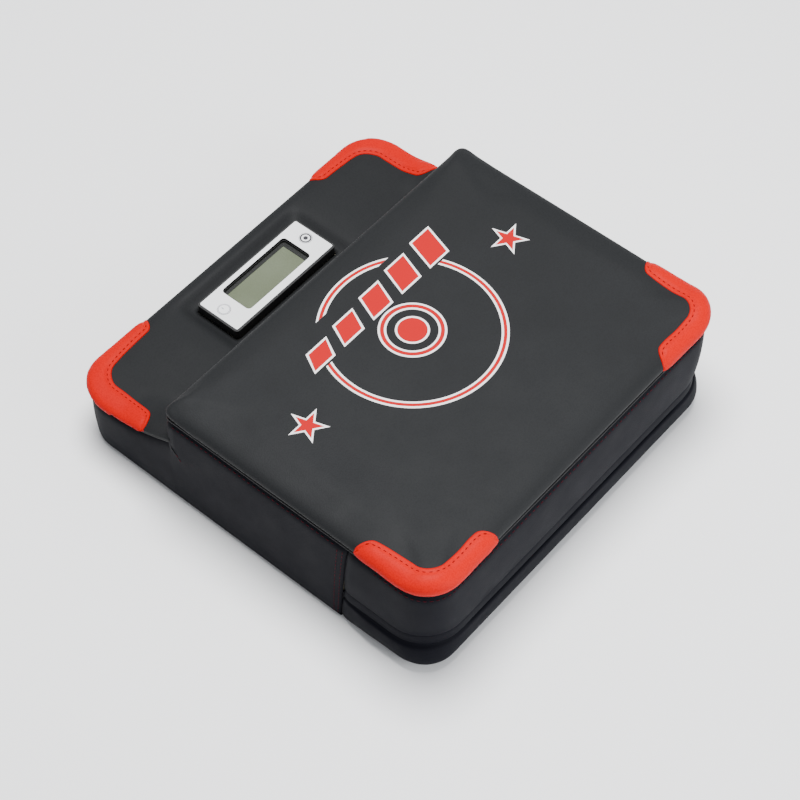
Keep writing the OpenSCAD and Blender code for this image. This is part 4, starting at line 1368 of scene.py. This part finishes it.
def display_plate(name, loops, z_lo, z_hi, bevel=0.0, slot_name="plastic_black"):
    """One flat part of the display's surround."""
    return dress(fill_outline(name, loops, z_lo, z_hi, bevel), slot_name, "base")


def display_face():
    """White rim on a black core, the window's black walls and ledge, and the mask round the display."""
    face_top, lens_top = BEZEL[1].z, LENS[1].z
    bezel, bezel_size = plan_centre(*BEZEL), BEZEL[1] - BEZEL[0]
    window, lens_size = plan_centre(*LENS), LENS[1] - LENS[0]
    size = (lens_size.x - 2 * MM, lens_size.y - 2 * MM)
    holes = [grown(window, size, 0)]
    for button in ("button_power", "button_mode"):
        holes.append(circle_points(*plan_centre(*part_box(button)), BUTTON_R + 0.3 * MM))
    edge = grown(bezel, bezel_size, 0, r=BEZEL_R)
    plate = display_plate("bezel_face", [edge, *holes], face_top - FACE_T, face_top, 0.25 * MM, "bezel_white")
    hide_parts("display_bezel")
    edge = grown(bezel, bezel_size, -0.2 * MM, r=BEZEL_R)
    display_plate("bezel_core", [edge, *holes], BEZEL[0].z, face_top - FACE_T)
    ring = [grown(window, size, -0.02 * MM), grown(window, size, -0.5 * MM)]
    display_plate("window_wall", ring, lens_top, face_top - 0.12 * MM, 0.08 * MM)
    left, right = window[0] - size[0] / 2 + MASK_NEAR, window[0] + size[0] / 2 - MASK_RIGHT
    low, high = window[1] - size[1] / 2 + MASK_NEAR, window[1] + size[1] / 2 - MASK_REAR
    view = round_rect((left + right) / 2, (low + high) / 2, right - left, high - low, 0.5 * MM, 3)
    edge = grown(window, size, 1.6 * MM, -0.6 * MM, 1 * MM)
    display_plate("display_mask", [edge, view], LCD[1].z + 0.06 * MM, LENS[0].z - 0.06 * MM)
    ring = [grown(window, size, -0.6 * MM), grown(window, size, -1.4 * MM, r=WINDOW_R - 0.4 * MM)]
    display_plate("window_ledge", ring, lens_top, lens_top + 0.9 * MM, 0.15 * MM)


def button_marks():
    """A ring and dot on one button, and a power sign on the other."""
    for body, button, ink_made in (
        ("mode_button", "button_mode", MARK_DARK), ("power_button", "button_power", MARK_GREY)
    ):
        lo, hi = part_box(button)
        cx, cy = plan_centre(lo, hi)
        if button == "button_mode":
            hole_r, mark, outline = 3.1 * MM, "_dot", circle_points(cx, cy, 1.7 * MM, 24)
        else:
            hole_r, mark = 3.7 * MM, "_bar"
            outline = round_rect(cx, cy + 1.2 * MM, 0.7 * MM, 2.2 * MM, 0.3 * MM, 3)
        ring = [circle_points(cx, cy, 4.2 * MM), circle_points(cx, cy, hole_r)]
        for part, loops in (("_ring", ring), (mark, [outline])):
            made = fill_outline(button + part, loops, hi.z - 0.05 * MM, hi.z + 0.06 * MM)
            dress(made, "button_plastic", body, ink_made)


display_face()
button_marks()

# ---- underside sheet ----


INSERT_HOLE_R = 8 * MM
BOTTOM_FRONT_R = 42 * MM
BOTTOM_SQUASH = 0.8
STITCH_ROW_IN = 0.965


def insert_centres():
    """Places of the four wall inserts."""
    verts = np.array([v.co for v in frame["nodes"]["wall_inserts"].data.vertices])
    for sx in (-1, 1):
        for sy in (-1, 1):
            part = verts[(verts[:, 0] * sx > 0) & (verts[:, 1] * sy > 0)]
            yield plan_centre(part.min(0), part.max(0))


def bottom_sheet():
    """Sheet under the board, cut back where the walls curl in, with its holes."""
    inset_side, inset_front = SIDE_FOOT_R + WALL_IN - 1 * MM, FRONT_FOOT_R + WALL_IN - 1 * MM
    left, right = -HALF_W + inset_side, HALF_W - inset_side
    low, high = FRONT_Y + inset_front, REAR_Y - inset_side
    rear, front = REAR_R - inset_side, BOTTOM_FRONT_R
    deep = front * BOTTOM_SQUASH
    edge = []
    for quarter, cx, cy, rx, ry in (
        (0, right - rear, high - rear, rear, rear),
        (1, left + rear, high - rear, rear, rear),
        (2, left + front, low + deep, front, deep),
        (3, right - front, low + deep, front, deep),
    ):
        for turn in np.linspace(0, 1, 13) + quarter:
            angle = math.pi / 2 * turn
            edge.append((cx + rx * math.cos(angle), cy + ry * math.sin(angle)))
    lo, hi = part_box("battery_box")
    well = hi - lo
    holes = [circle_points(*centre, INSERT_HOLE_R) for centre in insert_centres()]
    holes.append(grown(plan_centre(lo, hi), well, 2 * MM, r=4 * MM))
    obj = fill_outline("bottom_sheet", [edge, *holes], 0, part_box("cover_bottom")[1].z, 0.5 * MM)
    dress(obj, "leathercloth_dark", "base")
    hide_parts("cover_bottom")
    line = [(x * STITCH_ROW_IN, y * STITCH_ROW_IN + 0.5 * MM, 0) for x, y in edge + edge[:1]]
    thread = add_stitches("bottom_stitches", [line], surface(obj), lambda p: np.array((0, 0, -1)), 0.02 * MM)
    dress(thread, "leathercloth_dark", "base", THREAD_RED)


bottom_sheet()

# ---- floor and light ----


def area_light(name, place, aim, size, power, color=(1, 1, 1)):
    data = bpy.data.lights.new(name, "AREA")
    data.shape, data.size, data.energy, data.color = "DISK", size, power, color
    light = add_object(name, data)
    light.location = place
    light.rotation_mode = "QUATERNION"
    light.rotation_quaternion = (Vector(aim) - Vector(place)).to_track_quat("-Z", "Y")


def stage():
    floor = add_mesh("floor", [(-6, -6, 0), (6, -6, 0), (6, 6, 0), (-6, 6, 0)], [(0, 1, 2, 3)])
    t = Tree("floor")
    tone = t.mix(t.noise(3), (0.93, 0.93, 0.94), (0.95, 0.95, 0.95))
    floor.data.materials.append(t.finish(tone, 0.7))
    floor.location.z = -0.0002
    world = bpy.data.worlds.new("world")
    scene.world = world
    world.use_nodes = True
    sky = world.node_tree.nodes["Background"]
    sky.inputs["Color"].default_value = (0.93, 0.96, 1.0, 1)
    sky.inputs["Strength"].default_value = 0.5
    area_light("key", (0.12, 0.12, 1.7), (-0.02, 0.05, 0.05), 0.9, 62)
    area_light("front", (0.1, -1.65, 0.6), (0, 0, 0.03), 1.2, 28, (0.96, 0.98, 1))


stage()
